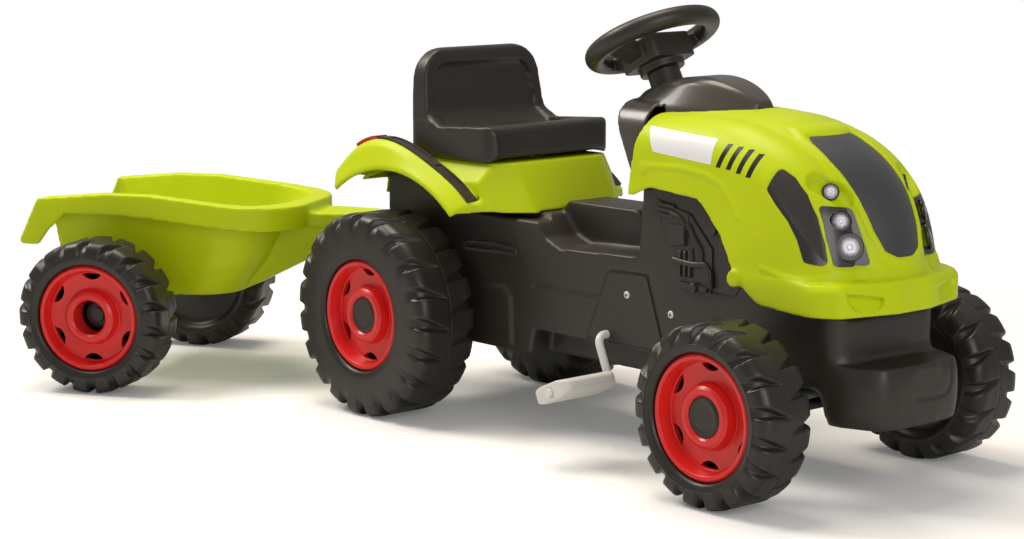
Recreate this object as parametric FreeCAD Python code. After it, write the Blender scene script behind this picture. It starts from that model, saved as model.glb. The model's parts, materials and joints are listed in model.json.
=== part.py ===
"""Ride-on pedal tractor with a hitched two-wheeled trailer, in millimetres.

X points forward, Y to the driver's left and Z up. The tractor is drawn about the point on
the floor under its rear axle, and the trailer about the point under its hitch pin. The
trailer is then turned to the angle at which it stands, and everything is shifted so that the
origin is the middle of the footprint on the floor.
"""
import FreeCAD
import Part
import math
import os

V = FreeCAD.Vector
ORIGIN = V(0, 0, 0)
ALONG_X = V(1, 0, 0)
ALONG_Y = V(0, 1, 0)
UP = V(0, 0, 1)

# Wheels and tracks
WHEELBASE = 618.0
REAR_WHEEL_RADIUS = 131.0
REAR_WHEEL_WIDTH = 94.0
REAR_TRACK = 308.0
FRONT_WHEEL_RADIUS = 103.0
FRONT_WHEEL_WIDTH = 79.0
FRONT_TRACK = 361.0
TRAILER_TRACK = 356.0
RIM_RADIUS = 71.0
RIM_WINDOWS = 6
HUB_RING_RADIUS = 38.0
HUB_HOLE_RADIUS = 23.0
HUB_DEPTH = 40.0
REAR_LUGS = 20
FRONT_LUGS = 18
LUG_HEIGHT = 7.0
TYRE_WALL = 6.0

# Clearances and walls
RUNNING_CLEARANCE = 0.05
SEAT_CLEARANCE = 0.02
PANEL_GAP = 0.4
SIDE_PLAY = 0.5
WALL = 3.5

# Chassis
CHASSIS_HALF = 90.0
KEEL_HALF = 58.0
KEEL_BOTTOM = 97.0
KEEL_FRONT = 452.0
SILL_BOTTOM = 130.0
SILL_REAR = 212.0
CHASSIS_REAR = -70.0
FLOOR_TOP = 240.0
DASH_X = 396.0
TUNNEL_HALF = 34.0
TUNNEL_TOP = 286.0
BAY_TOP = 336.0
NOSE_LENGTH = 86.0
NOSE_TOP = 206.0
NOSE_CORNER = 30.0
BLOCK_HALF = 66.0
BLOCK_TOP = 155.0
BLOCK_BOTTOM = 86.0
BLOCK_LENGTH = 52.0

# Drive
AXLE_RADIUS = 6.0
CRANK_X = 344.0
CRANK_Z = 142.0
CRANK_RADIUS = 5.0
CRANK_THROW = 56.5
CRANK_ANGLE = -67.0
CRANK_BEND = 12.0
CRANK_ARM_Y = 106.0
BOSS_WALL = 3.0
PEDAL_LENGTH = 91.0
PEDAL_WIDTH = 62.0
PEDAL_THICK = 21.0
PEDAL_TILT = 24.0
CHAIN_PITCH = 12.7
CHAIN_Y = 25.0
CRANK_TEETH = 18
AXLE_TEETH = 12
ROLLER_RADIUS = 2.6
ROLLER_PLAY = 0.8
SPROCKET_THICK = 4.0
TOOTH_TIP = 1.5
CHAIN_PLATE = 1.2
CHAIN_HALF_HEIGHT = 4.0

# Steering
WHEEL_CENTRE_X = 327.0
WHEEL_CENTRE_Z = 489.0
COLUMN_TILT = 27.0
STEERING_RADIUS = 73.0
STEERING_GRIP = 12.0
SHAFT_RADIUS = 8.0
SLEEVE_RADIUS = 20.0
HORN_RADIUS = 18.0
HORN_TRAVEL = 3.0
DROP_ARM = 24.0
DROP_ARM_Z = 104.0
DROP_PIN_RADIUS = 4.0
KINGPIN_Y = 118.0
KINGPIN_RADIUS = 5.0
BEAM_TOP = 124.0
BEAM_HEIGHT = 24.0
BEAM_HALF = 10.0
EAR_THICK = 6.6
EAR_GAP = 0.4
STEERING_ARM = 35.0
TIE_ROD_THICK = 6.0

# Bonnet
BONNET_BOTTOM = 210.0
BONNET_REAR = 392.0
BONNET_WALL = 4.0
BONNET_HINGE_AHEAD = 86.0
BONNET_HINGE_Z = 224.0
HINGE_PIN_RADIUS = 3.0
HINGE_LUG_RADIUS = 6.5
INSET_DEPTH = 2.0

# Cowl
COWL_HALF = 78.0
HUMP_STATIONS = ((345, 50, 8), (385, 55, 23), (425, 53, 29), (460, 45, 26), (490, 33, 16), (512, 16, 4))

# Deck, fenders and seat
DECK_TOP = 331.0
DECK_WALL = 4.0
FENDER_LIP_Y = 150.0
FENDER_GAP = 54.0
FENDER_CREST_Y = 125.0
TRIM_WIDTH = 17.0
TRIM_THICK = 2.5
SEAT_HALF = 105.0
SEAT_REAR = -15.0
SEAT_FRONT = 152.0
SEAT_PAN_HEIGHT = 44.0
SEAT_BACK_TOP = 467.0
SEAT_WALL = 4.0
SEAT_SCOOP = 6.0
SEAT_RIM = 17.0
SEAT_TRAVEL = 24.0
SEAT_BOLT_RADIUS = 4.0

# Trailer
HITCH_X = -133.0
HITCH_YAW = 32.0
TONGUE_BOTTOM = 213.0
TONGUE_TOP = 233.0
HITCH_PIN_RADIUS = 6.0
TRAILER_AXLE_X = -385.5
TRAILER_AXLE_RADIUS = 5.0
TUB_HALF = 131.0
TUB_SKIRT = 13.0
TUB_REAR = -490.0
TUB_FRONT = -135.0
TUB_FLOOR = 118.0
TUB_WALL = 4.0
TUB_TAIL = -528.0

FRONT_X = WHEELBASE
REAR_Z = REAR_WHEEL_RADIUS
FRONT_Z = FRONT_WHEEL_RADIUS
NOSE_X = FRONT_X + NOSE_LENGTH


def rounded(points, radius):
    """A closed wire through the points, each corner rounded as far as its sides allow."""
    count = len(points)
    radii = radius if isinstance(radius, list) else [radius] * count
    ends = []
    for i, corner in enumerate(points):
        back = points[i - 1] - corner
        ahead = points[(i + 1) % count] - corner
        room = 0.45 * min(back.Length, ahead.Length)
        back.normalize()
        ahead.normalize()
        half = back.getAngle(ahead) / 2
        reach = min(radii[i] / math.tan(half), room)
        if reach < 0.05:
            ends.append((corner, None, corner))
            continue
        bisector = back + ahead
        bisector.normalize()
        turn = reach * math.tan(half)
        middle = corner + bisector * (turn / math.sin(half) - turn)
        ends.append((corner + back * reach, middle, corner + ahead * reach))
    edges = []
    for i, (start, middle, finish) in enumerate(ends):
        if middle is not None:
            edges.append(Part.Arc(start, middle, finish).toShape())
        following = ends[(i + 1) % count][0]
        edges.append(Part.LineSegment(finish, following).toShape())
    return Part.Wire(edges)


def side_wire(points, y, radius=0.0):
    return rounded([V(x, y, z) for x, z in points], radius)


def plan_wire(points, z, radius=0.0):
    return rounded([V(x, y, z) for x, y in points], radius)


def side_prism(points, y0, y1, radius=0.0):
    """An outline in X and Z, carried from y0 to y1."""
    return Part.Face(side_wire(points, y0, radius)).extrude(V(0, y1 - y0, 0))


def plan_prism(points, z0, z1, radius=0.0):
    """An outline in X and Y, carried from z0 to z1."""
    return Part.Face(plan_wire(points, z0, radius)).extrude(V(0, 0, z1 - z0))


def front_prism(points, x0, x1, radius=0.0):
    """An outline in Y and Z, carried from x0 to x1."""
    wire = rounded([V(x0, y, z) for y, z in points], radius)
    return Part.Face(wire).extrude(V(x1 - x0, 0, 0))


def box(x0, x1, y0, y1, z0, z1):
    return Part.makeBox(x1 - x0, y1 - y0, z1 - z0, V(x0, y0, z0))


def cylinder(start, direction, radius, length):
    return Part.makeCylinder(radius, length, start, direction)


def across(x, z, radius, y0, y1):
    """A round bar along Y."""
    return Part.makeCylinder(radius, y1 - y0, V(x, y0, z), ALONG_Y)


def turned(points, radius=0.0):
    """A solid turned about Y from an outline of radius and place along Y."""
    wire = rounded([V(r, y, 0) for r, y in points], [radius if r > 0 else 0.0 for r, y in points])
    return Part.Face(wire).revolve(ORIGIN, ALONG_Y, 360)


def shrunk(wire, amount):
    return wire.makeOffset2D(-amount)


def mirrored(shape):
    return shape.mirror(ORIGIN, ALONG_Y)


def moved(shape, x=0.0, y=0.0, z=0.0):
    copy = shape.copy()
    copy.translate(V(x, y, z))
    return copy


def bent_rod(points, radius, bend):
    """A round rod along straight runs joined by tangent arcs."""
    edges = []
    start = points[0]
    for i in range(1, len(points) - 1):
        corner = points[i]
        back = (points[i - 1] - corner).normalize()
        ahead = (points[i + 1] - corner).normalize()
        half = back.getAngle(ahead) / 2
        reach = bend / math.tan(half)
        bisector = (back + ahead).normalize()
        middle = corner + bisector * (bend / math.sin(half) - bend)
        edges.append(Part.LineSegment(start, corner + back * reach).toShape())
        edges.append(Part.Arc(corner + back * reach, middle, corner + ahead * reach).toShape())
        start = corner + ahead * reach
    edges.append(Part.LineSegment(start, points[-1]).toShape())
    path = Part.Wire(edges)
    heading = points[1] - points[0]
    ring = Part.Wire(Part.Circle(points[0], heading, radius).toShape())
    return path.makePipeShell([ring], True, False)


def tyre_lug(radius, width, lugs, side, angle):
    """One slanting tread bar, drawn at the top of the wheel and turned to its place."""
    pitch = 2 * math.pi * radius / lugs
    inner_y = 0.02 * width
    outer_y = 0.5 * width
    lean = 0.17 * pitch
    outline = [
        (-lean - 0.20 * pitch, side * inner_y),
        (-lean + 0.20 * pitch, side * inner_y),
        (lean + 0.27 * pitch, side * outer_y),
        (lean - 0.27 * pitch, side * outer_y),
    ]
    bar = plan_prism(outline, radius - 2 * LUG_HEIGHT, radius + 1)
    bar.rotate(ORIGIN, ALONG_Y, angle)
    return bar


def tyre(radius, width, lugs, bore):
    """The black wheel body: tread, side walls and hub, open on its outer side for the rim."""
    half = width / 2
    base = radius - LUG_HEIGHT
    bead = RIM_RADIUS
    web = -half + 2 * TYRE_WALL
    body = turned([
        (0, -half), (HUB_HOLE_RADIUS, -half), (HUB_HOLE_RADIUS + 5, web), (bead - 4, web),
        (bead + 6, -half), (base - 14, -half), (base, -half + 16), (base, half - 16),
        (base - 14, half), (bead + 6, half), (bead, half - 6), (0, half - 6),
    ], 9.0)
    hollow = turned([
        (0, half - HUB_DEPTH), (0, half + 1), (bead, half + 1), (bead, half - 8),
        (base - 18, half - TYRE_WALL), (base - TYRE_WALL, half - 18),
        (base - TYRE_WALL, -half + 18), (base - 18, -half + TYRE_WALL), (bead, web + TYRE_WALL),
        (HUB_HOLE_RADIUS, web + TYRE_WALL), (HUB_HOLE_RADIUS - 4, half - HUB_DEPTH),
    ])
    envelope = turned([
        (base - 8, -half), (radius - 4, -half + 7), (radius, -half + 17), (radius, half - 17),
        (radius - 4, half - 7), (base - 8, half),
    ], 5.0)
    step = 360.0 / lugs
    bars = []
    for i in range(lugs):
        bars.append(tyre_lug(radius, width, lugs, -1, i * step))
        bars.append(tyre_lug(radius, width, lugs, 1, (i + 0.5) * step))
    tread = Part.makeCompound(bars).common(envelope)
    rib = across(0, 0, radius - 1.5, -1.5, 1.5)
    whole = body.fuse(tread.Solids + [rib]).cut(hollow)
    return whole.cut(across(0, 0, bore, -width, width))


def rim(width):
    """The red insert: outer ring, dished plate with windows and a raised hub ring."""
    half = width / 2
    ring = RIM_RADIUS - SEAT_CLEARANCE
    hole = HUB_HOLE_RADIUS
    plate = half - 24
    body = turned([
        (ring, plate - 2), (ring, half - 8), (ring - 3, half - 5), (ring - 7, half - 6),
        (ring - 11, plate + 2), (HUB_RING_RADIUS, plate), (HUB_RING_RADIUS - 3, half - 12),
        (HUB_RING_RADIUS - 7, half - 9), (hole + 3, half - 9), (hole, half - 12),
        (hole, half - HUB_DEPTH), (hole + 4, half - HUB_DEPTH), (hole + 4, plate - 4),
        (ring - 12, plate - 4),
    ], 1.5)
    reach = across(0, 0, ring - 12, plate - 10, half)
    cuts = []
    for i in range(RIM_WINDOWS):
        angle = math.radians(360.0 / RIM_WINDOWS * (i + 0.5))
        place = ring - 4
        cuts.append(across(place * math.cos(angle), place * math.sin(angle), 17.0, plate - 9, plate + 9))
    windows = Part.makeCompound(cuts).common(reach)
    return body.cut(windows)


def hub_cap(width):
    """The dark cap that snaps into the hub ring."""
    half = width / 2
    edge = HUB_HOLE_RADIUS - SEAT_CLEARANCE
    return turned([
        (0, half - 20), (edge, half - 20), (edge, half - 12), (edge - 4, half - 10),
        (edge - 8, half - 11), (0, half - 11),
    ], 1.0)


def stub(y0, y1, radius):
    """A wheel spindle along Y with its swaged retaining cap on the outer end."""
    spindle = across(0, 0, radius, y0, y1)
    cap = across(0, 0, radius + 4, y1 - 3, y1)
    return spindle.fuse(cap)


def column_point(distance, ahead=0.0):
    """A point that far down the steering column from the wheel's centre, and ahead of it."""
    tilt = math.radians(COLUMN_TILT)
    x = WHEEL_CENTRE_X + distance * math.sin(tilt) + ahead * math.cos(tilt)
    z = WHEEL_CENTRE_Z - distance * math.cos(tilt) + ahead * math.sin(tilt)
    return V(x, 0, z)


def on_column(shape):
    """Carries a piece drawn upright about the origin to the steering wheel's centre."""
    copy = shape.copy()
    copy.rotate(ORIGIN, ALONG_Y, -COLUMN_TILT)
    copy.translate(column_point(0))
    return copy


def column_bar(radius, start, finish):
    """A round bar down the steering column between two distances from the wheel's centre."""
    top = column_point(start)
    return cylinder(top, column_point(finish) - top, radius, finish - start)


SHAFT_END = (WHEEL_CENTRE_Z - DROP_ARM_Z) / math.cos(math.radians(COLUMN_TILT))


def chassis_outline():
    """The chassis seen from its side, from the tail's bottom round to its top."""
    return [
        (CHASSIS_REAR, KEEL_BOTTOM), (SILL_REAR - 3, KEEL_BOTTOM), (SILL_REAR + 3, SILL_BOTTOM),
        (KEEL_FRONT - 8, SILL_BOTTOM), (KEEL_FRONT + 8, BEAM_TOP), (FRONT_X + 54, BEAM_TOP),
        (FRONT_X + 60, BLOCK_BOTTOM), (NOSE_X, BLOCK_BOTTOM), (NOSE_X, NOSE_TOP),
        (FRONT_X + 22, NOSE_TOP + 18), (FRONT_X - 14, NOSE_TOP + 30), (FRONT_X - 28, NOSE_TOP + 58),
        (FRONT_X - 52, BAY_TOP - 38), (FRONT_X - 88, BAY_TOP - 6), (DASH_X + 8, BAY_TOP),
        (DASH_X, FLOOR_TOP + 2), (SILL_REAR + 46, FLOOR_TOP - 4), (SILL_REAR + 22, FLOOR_TOP + 6),
        (SILL_REAR, FLOOR_TOP + 32), (SILL_REAR - 26, FLOOR_TOP + 32),
        (SILL_REAR - 62, DECK_TOP - DECK_WALL - 5), (SILL_REAR - 66, DECK_TOP - DECK_WALL),
        (CHASSIS_REAR, DECK_TOP - DECK_WALL),
    ]


def crank_cover_outline():
    """The trapezoid access panel round the crank, seen from the side."""
    return [
        (CRANK_X - 34, SILL_BOTTOM + 4), (CRANK_X + 96, SILL_BOTTOM + 4),
        (CRANK_X + 66, SILL_BOTTOM + 90), (CRANK_X + 3, SILL_BOTTOM + 88),
    ]


def engine_outline():
    """The moulded engine panel under the bonnet's edge, seen from the side."""
    return [
        (DASH_X + 27, BAY_TOP - 12), (DASH_X + 69, NOSE_TOP + 12), (FRONT_X - 66, NOSE_TOP + 8),
        (FRONT_X - 44, NOSE_TOP + 40), (FRONT_X - 74, BAY_TOP - 38), (FRONT_X - 104, BAY_TOP - 16),
    ]


def build_chassis():
    half = CHASSIS_HALF
    outline = side_wire(chassis_outline(), -half, 7.0)
    outer = Part.Face(outline).extrude(V(0, 2 * half, 0))
    inner_wire = shrunk(outline, WALL)
    inner_wire.translate(V(0, WALL, 0))
    inner = Part.Face(inner_wire).extrude(V(0, 2 * (half - WALL), 0))
    plan = [(CHASSIS_REAR, -half), (NOSE_X, -half), (NOSE_X, half), (CHASSIS_REAR, half)]
    plan_in = [(x - WALL if x > 0 else x + WALL, y * (half - WALL) / half) for x, y in plan]
    outer = outer.common(Part.Face(rounded_front(plan, 0, NOSE_CORNER)).extrude(V(0, 0, 500)))
    inner = inner.common(Part.Face(rounded_front(plan_in, 0, NOSE_CORNER - WALL)).extrude(V(0, 0, 500)))
    keel = box(CHASSIS_REAR + 10, KEEL_FRONT, -KEEL_HALF, KEEL_HALF, KEEL_BOTTOM, SILL_BOTTOM + 10)
    keel_in = box(CHASSIS_REAR + 10 + WALL, KEEL_FRONT - WALL, -KEEL_HALF + WALL, KEEL_HALF - WALL,
                  KEEL_BOTTOM + WALL, SILL_BOTTOM + 12)
    tunnel = side_prism([
        (SILL_REAR - 12, FLOOR_TOP - 8), (SILL_REAR - 12, TUNNEL_TOP - 16), (SILL_REAR + 4, TUNNEL_TOP),
        (DASH_X - 60, TUNNEL_TOP), (DASH_X - 40, TUNNEL_TOP - 16), (DASH_X + 4, TUNNEL_TOP - 16),
        (DASH_X + 4, FLOOR_TOP - 8),
    ], -TUNNEL_HALF, TUNNEL_HALF, 6.0)
    block = plan_prism([
        (NOSE_X - 40, -half), (NOSE_X, -half + 2), (NOSE_X + BLOCK_LENGTH, -BLOCK_HALF),
        (NOSE_X + BLOCK_LENGTH, BLOCK_HALF), (NOSE_X, half - 2), (NOSE_X - 40, half),
    ], BLOCK_BOTTOM, BLOCK_TOP, 14.0)
    block = block.cut(box(NOSE_X - 60, FRONT_X + 60, -200, 200, 0, 300))
    for side in (-1, 1):
        outer = outer.cut(deck_notch(side, 0.0))
        inner = inner.cut(deck_notch(side, WALL))
    hollow = box(NOSE_X + 4, NOSE_X + BLOCK_LENGTH - 6, -BLOCK_HALF + 6, BLOCK_HALF - 6, 0, BLOCK_TOP - 6)
    body = outer.fuse([keel, tunnel, block]).cut(inner).cut(keel_in).cut(hollow)
    lug_x = FRONT_X + BONNET_HINGE_AHEAD
    side_of_lug = HINGE_LUG_RADIUS - 0.5
    for y in (-50.0, 40.0):
        lug = side_prism([
            (lug_x - 44, NOSE_TOP + 9), (lug_x - 12, NOSE_TOP), (lug_x + 2, BONNET_HINGE_Z - side_of_lug),
            (lug_x + 2, BONNET_HINGE_Z), (lug_x - 2, BONNET_HINGE_Z + side_of_lug),
            (lug_x - 44, NOSE_TOP + 14),
        ], y, y + 10, 1.0)
        eye = across(lug_x, BONNET_HINGE_Z, HINGE_LUG_RADIUS, y, y + 10)
        body = body.fuse([lug, eye])
    cuts = [across(lug_x, BONNET_HINGE_Z, HINGE_PIN_RADIUS + SEAT_CLEARANCE, -60, 60)]
    cuts.append(across(0, REAR_Z, AXLE_RADIUS + 6 + SEAT_CLEARANCE, -half - 5, half + 5))
    cuts.append(box(*belly_span(0.0), KEEL_BOTTOM - 1, KEEL_BOTTOM + WALL + 1))
    for y in (-half - 1, half - 5):
        cuts.append(across(CRANK_X, CRANK_Z, CRANK_RADIUS + BOSS_WALL + PANEL_GAP, y, y + 6))
    cuts.append(column_bar(SHAFT_RADIUS + 4, 150, SHAFT_END - 80))
    cuts.append(column_bar(SHAFT_RADIUS + RUNNING_CLEARANCE, 150, SHAFT_END))
    for x in seat_bolt_places():
        cuts.append(slot_cut(x, DECK_TOP - DECK_WALL - WALL - 2, DECK_TOP))
    for side in (-1, 1):
        cover = side_prism(crank_cover_outline(), side * (half - 2), side * (half + 1), 5.0)
        window = Part.Face(shrunk(side_wire(crank_cover_outline(), side * (half - 6), 5.0), 8.0))
        panel = side_prism(engine_outline(), side * (half - 2), side * (half + 1), 6.0)
        cuts += [cover, window.extrude(V(0, side * 7, 0)), panel, panel_line(side)]
    body = body.cut(cuts)
    return body.cut(screw_holes())


def deck_notch(side, grow):
    """The step in the chassis's upper corner that gives the deck's swept side its room."""
    y0, y1 = sorted((side * (KEEL_HALF + 4 - grow), side * (CHASSIS_HALF + 20)))
    return box(SILL_REAR - 110 - grow, SILL_REAR + 10, y0, y1, DECK_TOP - 66 - grow, DECK_TOP + 20)


def panel_line(side):
    """The shallow joint line along the chassis's side between sill and cover."""
    y0, y1 = sorted((side * (CHASSIS_HALF - 1), side * (CHASSIS_HALF + 1)))
    low = SILL_BOTTOM + 56
    return box(SILL_REAR + 8, CRANK_X - 22, y0, y1, low, low + 1.5)


def belly_span(gap):
    """The low and high X and Y of the opening under the chain, drawn in by a gap."""
    return (40.0 + gap, KEEL_FRONT - 22 - gap, -44.0 + gap, 44.0 - gap)


def seat_bolt_places():
    return (30.0, 110.0)


def slot_cut(x, z0, z1):
    """A slot along X that a seat bolt slides in."""
    reach = SEAT_TRAVEL + SEAT_BOLT_RADIUS + 1
    wide = SEAT_BOLT_RADIUS + 0.5
    return box(x - reach, x + reach, -wide, wide, z0, z1)


def screw_places():
    """Where the screw heads sit on each side wall, seen from the side."""
    return ((CRANK_X + 34, SILL_BOTTOM + 64), (KEEL_FRONT - 1, SILL_BOTTOM + 50))


def screw_holes():
    holes = []
    for x, z in screw_places():
        holes.append(across(x, z, 1.9, -CHASSIS_HALF - 1, CHASSIS_HALF + 1))
    return Part.makeCompound(holes)


def build_screws():
    """White pan-head screws, two on each side wall."""
    screws = []
    for x, z in screw_places():
        for side in (-1, 1):
            face = side * CHASSIS_HALF
            shank = cylinder(V(x, face, z), V(0, -side, 0), 1.88, 9.0)
            head = cylinder(V(x, face, z), V(0, side, 0), 4.6, 2.0)
            low, high = sorted((face, face + side * 3))
            cross = box(x - 2.6, x + 2.6, low, high, z - 0.5, z + 0.5)
            slot = cross.common(cylinder(V(x, face + side * 1.2, z), V(0, side, 0), 5, 3))
            screws.append(shank.fuse(head).cut(slot))
    return Part.makeCompound(screws)


def build_belly_cover():
    return box(*belly_span(PANEL_GAP), KEEL_BOTTOM, KEEL_BOTTOM + WALL)


def build_crank_cover(side):
    """The access panel that carries one end of the crank in its boss."""
    face = side * CHASSIS_HALF
    wire = shrunk(side_wire(crank_cover_outline(), face, 5.0), PANEL_GAP)
    plate = Part.Face(wire).extrude(V(0, -side * 2.0, 0))
    boss = cylinder(V(CRANK_X, face, CRANK_Z), V(0, -side, 0), CRANK_RADIUS + BOSS_WALL, 18.0)
    cover = plate.fuse(boss)
    bore = across(CRANK_X, CRANK_Z, CRANK_RADIUS + RUNNING_CLEARANCE, -CHASSIS_HALF - 2, CHASSIS_HALF + 2)
    return cover.cut(bore).cut(screw_holes())


def build_engine_panel(side):
    """The relief panel moulded as a toy engine: base plate with blocks, pipes and ribs."""
    face = side * CHASSIS_HALF
    outline = side_wire(engine_outline(), face, 6.0)
    plate = Part.Face(shrunk(outline, PANEL_GAP)).extrude(V(0, -side * 2.0, 0))
    zone = Part.Face(shrunk(outline, 3.0)).extrude(V(0, side * 8, 0))
    low, high = sorted((face - side, face + side * 3.0))
    reliefs = [
        box(DASH_X + 52, DASH_X + 84, low, high, BAY_TOP - 62, BAY_TOP - 36),
        box(DASH_X + 60, DASH_X + 104, low, high, NOSE_TOP + 46, NOSE_TOP + 52),
        box(DASH_X + 66, DASH_X + 120, low, high, NOSE_TOP + 16, NOSE_TOP + 36),
        box(DASH_X + 96, DASH_X + 102, low, high, NOSE_TOP + 30, BAY_TOP - 40),
        across(DASH_X + 126, NOSE_TOP + 30, 13.0, low, high),
        across(DASH_X + 118, BAY_TOP - 48, 9.0, low, high),
    ]
    relief = Part.makeCompound(reliefs).common(zone)
    return plate.fuse(relief.Solids)


def build_cowl():
    """The dashboard hood: an arch behind the bonnet with a hump that runs forward over it."""
    rear_bottom = BONNET_REAR - 12
    top = cowl_top()
    back = [
        (rear_bottom, BAY_TOP - 20), (BONNET_REAR - 52, top - 16), (BONNET_REAR - 54, top),
        (BONNET_REAR - 1.5, top), (BONNET_REAR - 1.5, BAY_TOP - 20),
    ]
    arch = [
        (-COWL_HALF, BAY_TOP - 30), (-COWL_HALF, top), (COWL_HALF, top), (COWL_HALF, BAY_TOP - 30),
    ]
    dash = side_prism(back, -100, 100, 5.0).common(front_prism(arch, 300, 420, 40.0))
    arch_in = [(y * 0.955, z - WALL) for y, z in arch]
    back_in = [
        (rear_bottom + WALL, BAY_TOP - 30), (BONNET_REAR - 48, top - 18),
        (BONNET_REAR - 46, top - WALL),
        (BONNET_REAR + 10, top - WALL), (BONNET_REAR + 10, BAY_TOP - 30),
    ]
    dash_in = side_prism(back_in, -100, 100, 3.0).common(front_prism(arch_in, 300, 420, 36.0))
    hood = hump(0.0)
    hood_in = hump(WALL)
    body = dash.fuse(hood).cut(dash_in).cut(hood_in)
    clear_of_bay = box(DASH_X - 1, NOSE_X, -120, 120, 0, BAY_TOP + 1)
    sleeve = column_bar(SLEEVE_RADIUS + PANEL_GAP, 20, 110)
    shaft = column_bar(SHAFT_RADIUS + 4, 100, 200)
    return body.cut([clear_of_bay, sleeve, shaft, bay_corner()])


def bay_corner():
    """The chassis's own corner under the cowl, with room round it."""
    return box(DASH_X - 4, DASH_X + 30, -CHASSIS_HALF - 1, CHASSIS_HALF + 1, 0, BAY_TOP + 0.3)


def cowl_top():
    return BAY_TOP + 87.0


def hump_plan(inset):
    """The hump's outline from above, drawn in by an inset."""
    near = [(x, -(half - inset)) for x, half, _ in HUMP_STATIONS]
    far = [(x, half - inset) for x, half, _ in reversed(HUMP_STATIONS)]
    tip = HUMP_STATIONS[-1][0] - inset
    return near[:-1] + [(tip, near[-1][1]), (tip, far[0][1])] + far[1:]


def hump(inset):
    """The hump over the steering column: arches that narrow forward, drawn in by an inset."""
    top = cowl_top()
    wires = []
    for i, (x, half, rise) in enumerate(HUMP_STATIONS):
        h = half - inset
        crest = top + rise - inset
        eaves = top - 8 - inset
        if i == 0:
            x += inset
        if i == len(HUMP_STATIONS) - 1:
            x -= inset
        points = [
            (-h, top - 24 - inset), (-h, eaves), (-0.62 * h, crest), (0.62 * h, crest), (h, eaves),
            (h, top - 24 - inset),
        ]
        wires.append(rounded([V(x, y, z) for y, z in points], 0.35 * h))
    return Part.makeLoft(wires, True, False)


def build_column_sleeve():
    """The fixed tube round the steering shaft, with the shaft's upper bearing in its top."""
    tube = column_bar(SLEEVE_RADIUS, 42, 108)
    bore = column_bar(SLEEVE_RADIUS - 4, 52, 120)
    return tube.cut(bore).cut(column_bar(SHAFT_RADIUS + RUNNING_CLEARANCE, 0, 130))


def build_steering_wheel():
    """Rim, three spokes and the horn box, drawn upright and then tilted onto the column."""
    grip = Part.makeTorus(STEERING_RADIUS, STEERING_GRIP)
    horn_box = plan_prism([(-33, -36), (31, -36), (31, 36), (-33, 36)], -32, -2, 11.0)
    collar = Part.makeCylinder(SLEEVE_RADIUS + 8, 12.0, V(0, 0, -41))
    pieces = [horn_box, collar]
    reach = STEERING_RADIUS - 2
    for angle in (90.0, 180.0, 270.0):
        spoke = side_prism([(20, -28), (20, -10), (reach, 6), (reach, -8), (50, -20)], -13, 13, 2.0)
        spoke.rotate(ORIGIN, UP, angle)
        pieces.append(spoke)
    body = grip.fuse(pieces)
    pocket = Part.makeCylinder(HORN_RADIUS + 1.0, 20, V(0, 0, -12))
    bore = Part.makeCylinder(SHAFT_RADIUS + SEAT_CLEARANCE, 60, V(0, 0, -60))
    socket = bore.common(Part.makeBox(100, 100, 40, V(-50, -50, -60)))
    guide = Part.makeCylinder(6.0 + RUNNING_CLEARANCE, 10, V(0, 0, -18))
    return on_column(body.cut([pocket, socket, guide]))


def build_horn_button():
    """A domed push button whose stem slides in the horn box."""
    head = Part.makeCylinder(HORN_RADIUS, 6.0, V(0, 0, -12 + HORN_TRAVEL + 0.5))
    crown = Part.makeSphere(45.0, V(0, 0, -45.0 + HORN_TRAVEL - 12 + 9.5))
    cap = crown.common(Part.makeCylinder(HORN_RADIUS, 12, V(0, 0, -12 + HORN_TRAVEL + 0.5)))
    stem = Part.makeCylinder(6.0, 9.0, V(0, 0, -17 + HORN_TRAVEL - 0.5))
    return on_column(head.common(cap).fuse(stem))


def build_steering_shaft():
    """The long shaft with its drop arm and pin at the foot."""
    shaft = column_bar(SHAFT_RADIUS, 20.5, SHAFT_END + 4)
    arm_from = column_point(SHAFT_END)
    arm_to = column_point(SHAFT_END, DROP_ARM)
    axis = column_point(1) - column_point(0)
    arm = Part.makeBox(DROP_ARM + 6, 14, 5, V(0, -7, -2.5))
    arm.Placement = FreeCAD.Placement(arm_from, FreeCAD.Rotation(ALONG_Y, -COLUMN_TILT))
    pin = cylinder(arm_to, axis, DROP_PIN_RADIUS, 30.0)
    return shaft.fuse([arm, pin])


def build_front_axle():
    """The fixed beam under the nose, with a boss for each kingpin."""
    low = BEAM_TOP - BEAM_HEIGHT
    beam = box(FRONT_X - BEAM_HALF, FRONT_X + BEAM_HALF, -KINGPIN_Y, KINGPIN_Y, low, BEAM_TOP)
    pieces = []
    bores = []
    for side in (-1, 1):
        foot = V(FRONT_X, side * KINGPIN_Y, low)
        pieces.append(cylinder(foot, UP, KINGPIN_RADIUS + 8, BEAM_HEIGHT))
        bores.append(cylinder(foot - V(0, 0, 1), UP, KINGPIN_RADIUS + SEAT_CLEARANCE, BEAM_HEIGHT + 2))
    return beam.fuse(pieces).cut(bores)


def build_kingpins():
    """Two headed pins that the knuckles turn on."""
    pins = []
    foot = BEAM_TOP - BEAM_HEIGHT - EAR_GAP - EAR_THICK - 1
    length = BEAM_HEIGHT + 2 * (EAR_GAP + EAR_THICK) + 1.5
    for side in (-1, 1):
        start = V(FRONT_X, side * KINGPIN_Y, foot)
        shank = cylinder(start, UP, KINGPIN_RADIUS, length)
        head = cylinder(start + V(0, 0, length), UP, KINGPIN_RADIUS + 3, 4.0)
        pins.append(shank.fuse(head))
    return Part.makeCompound(pins)


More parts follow.
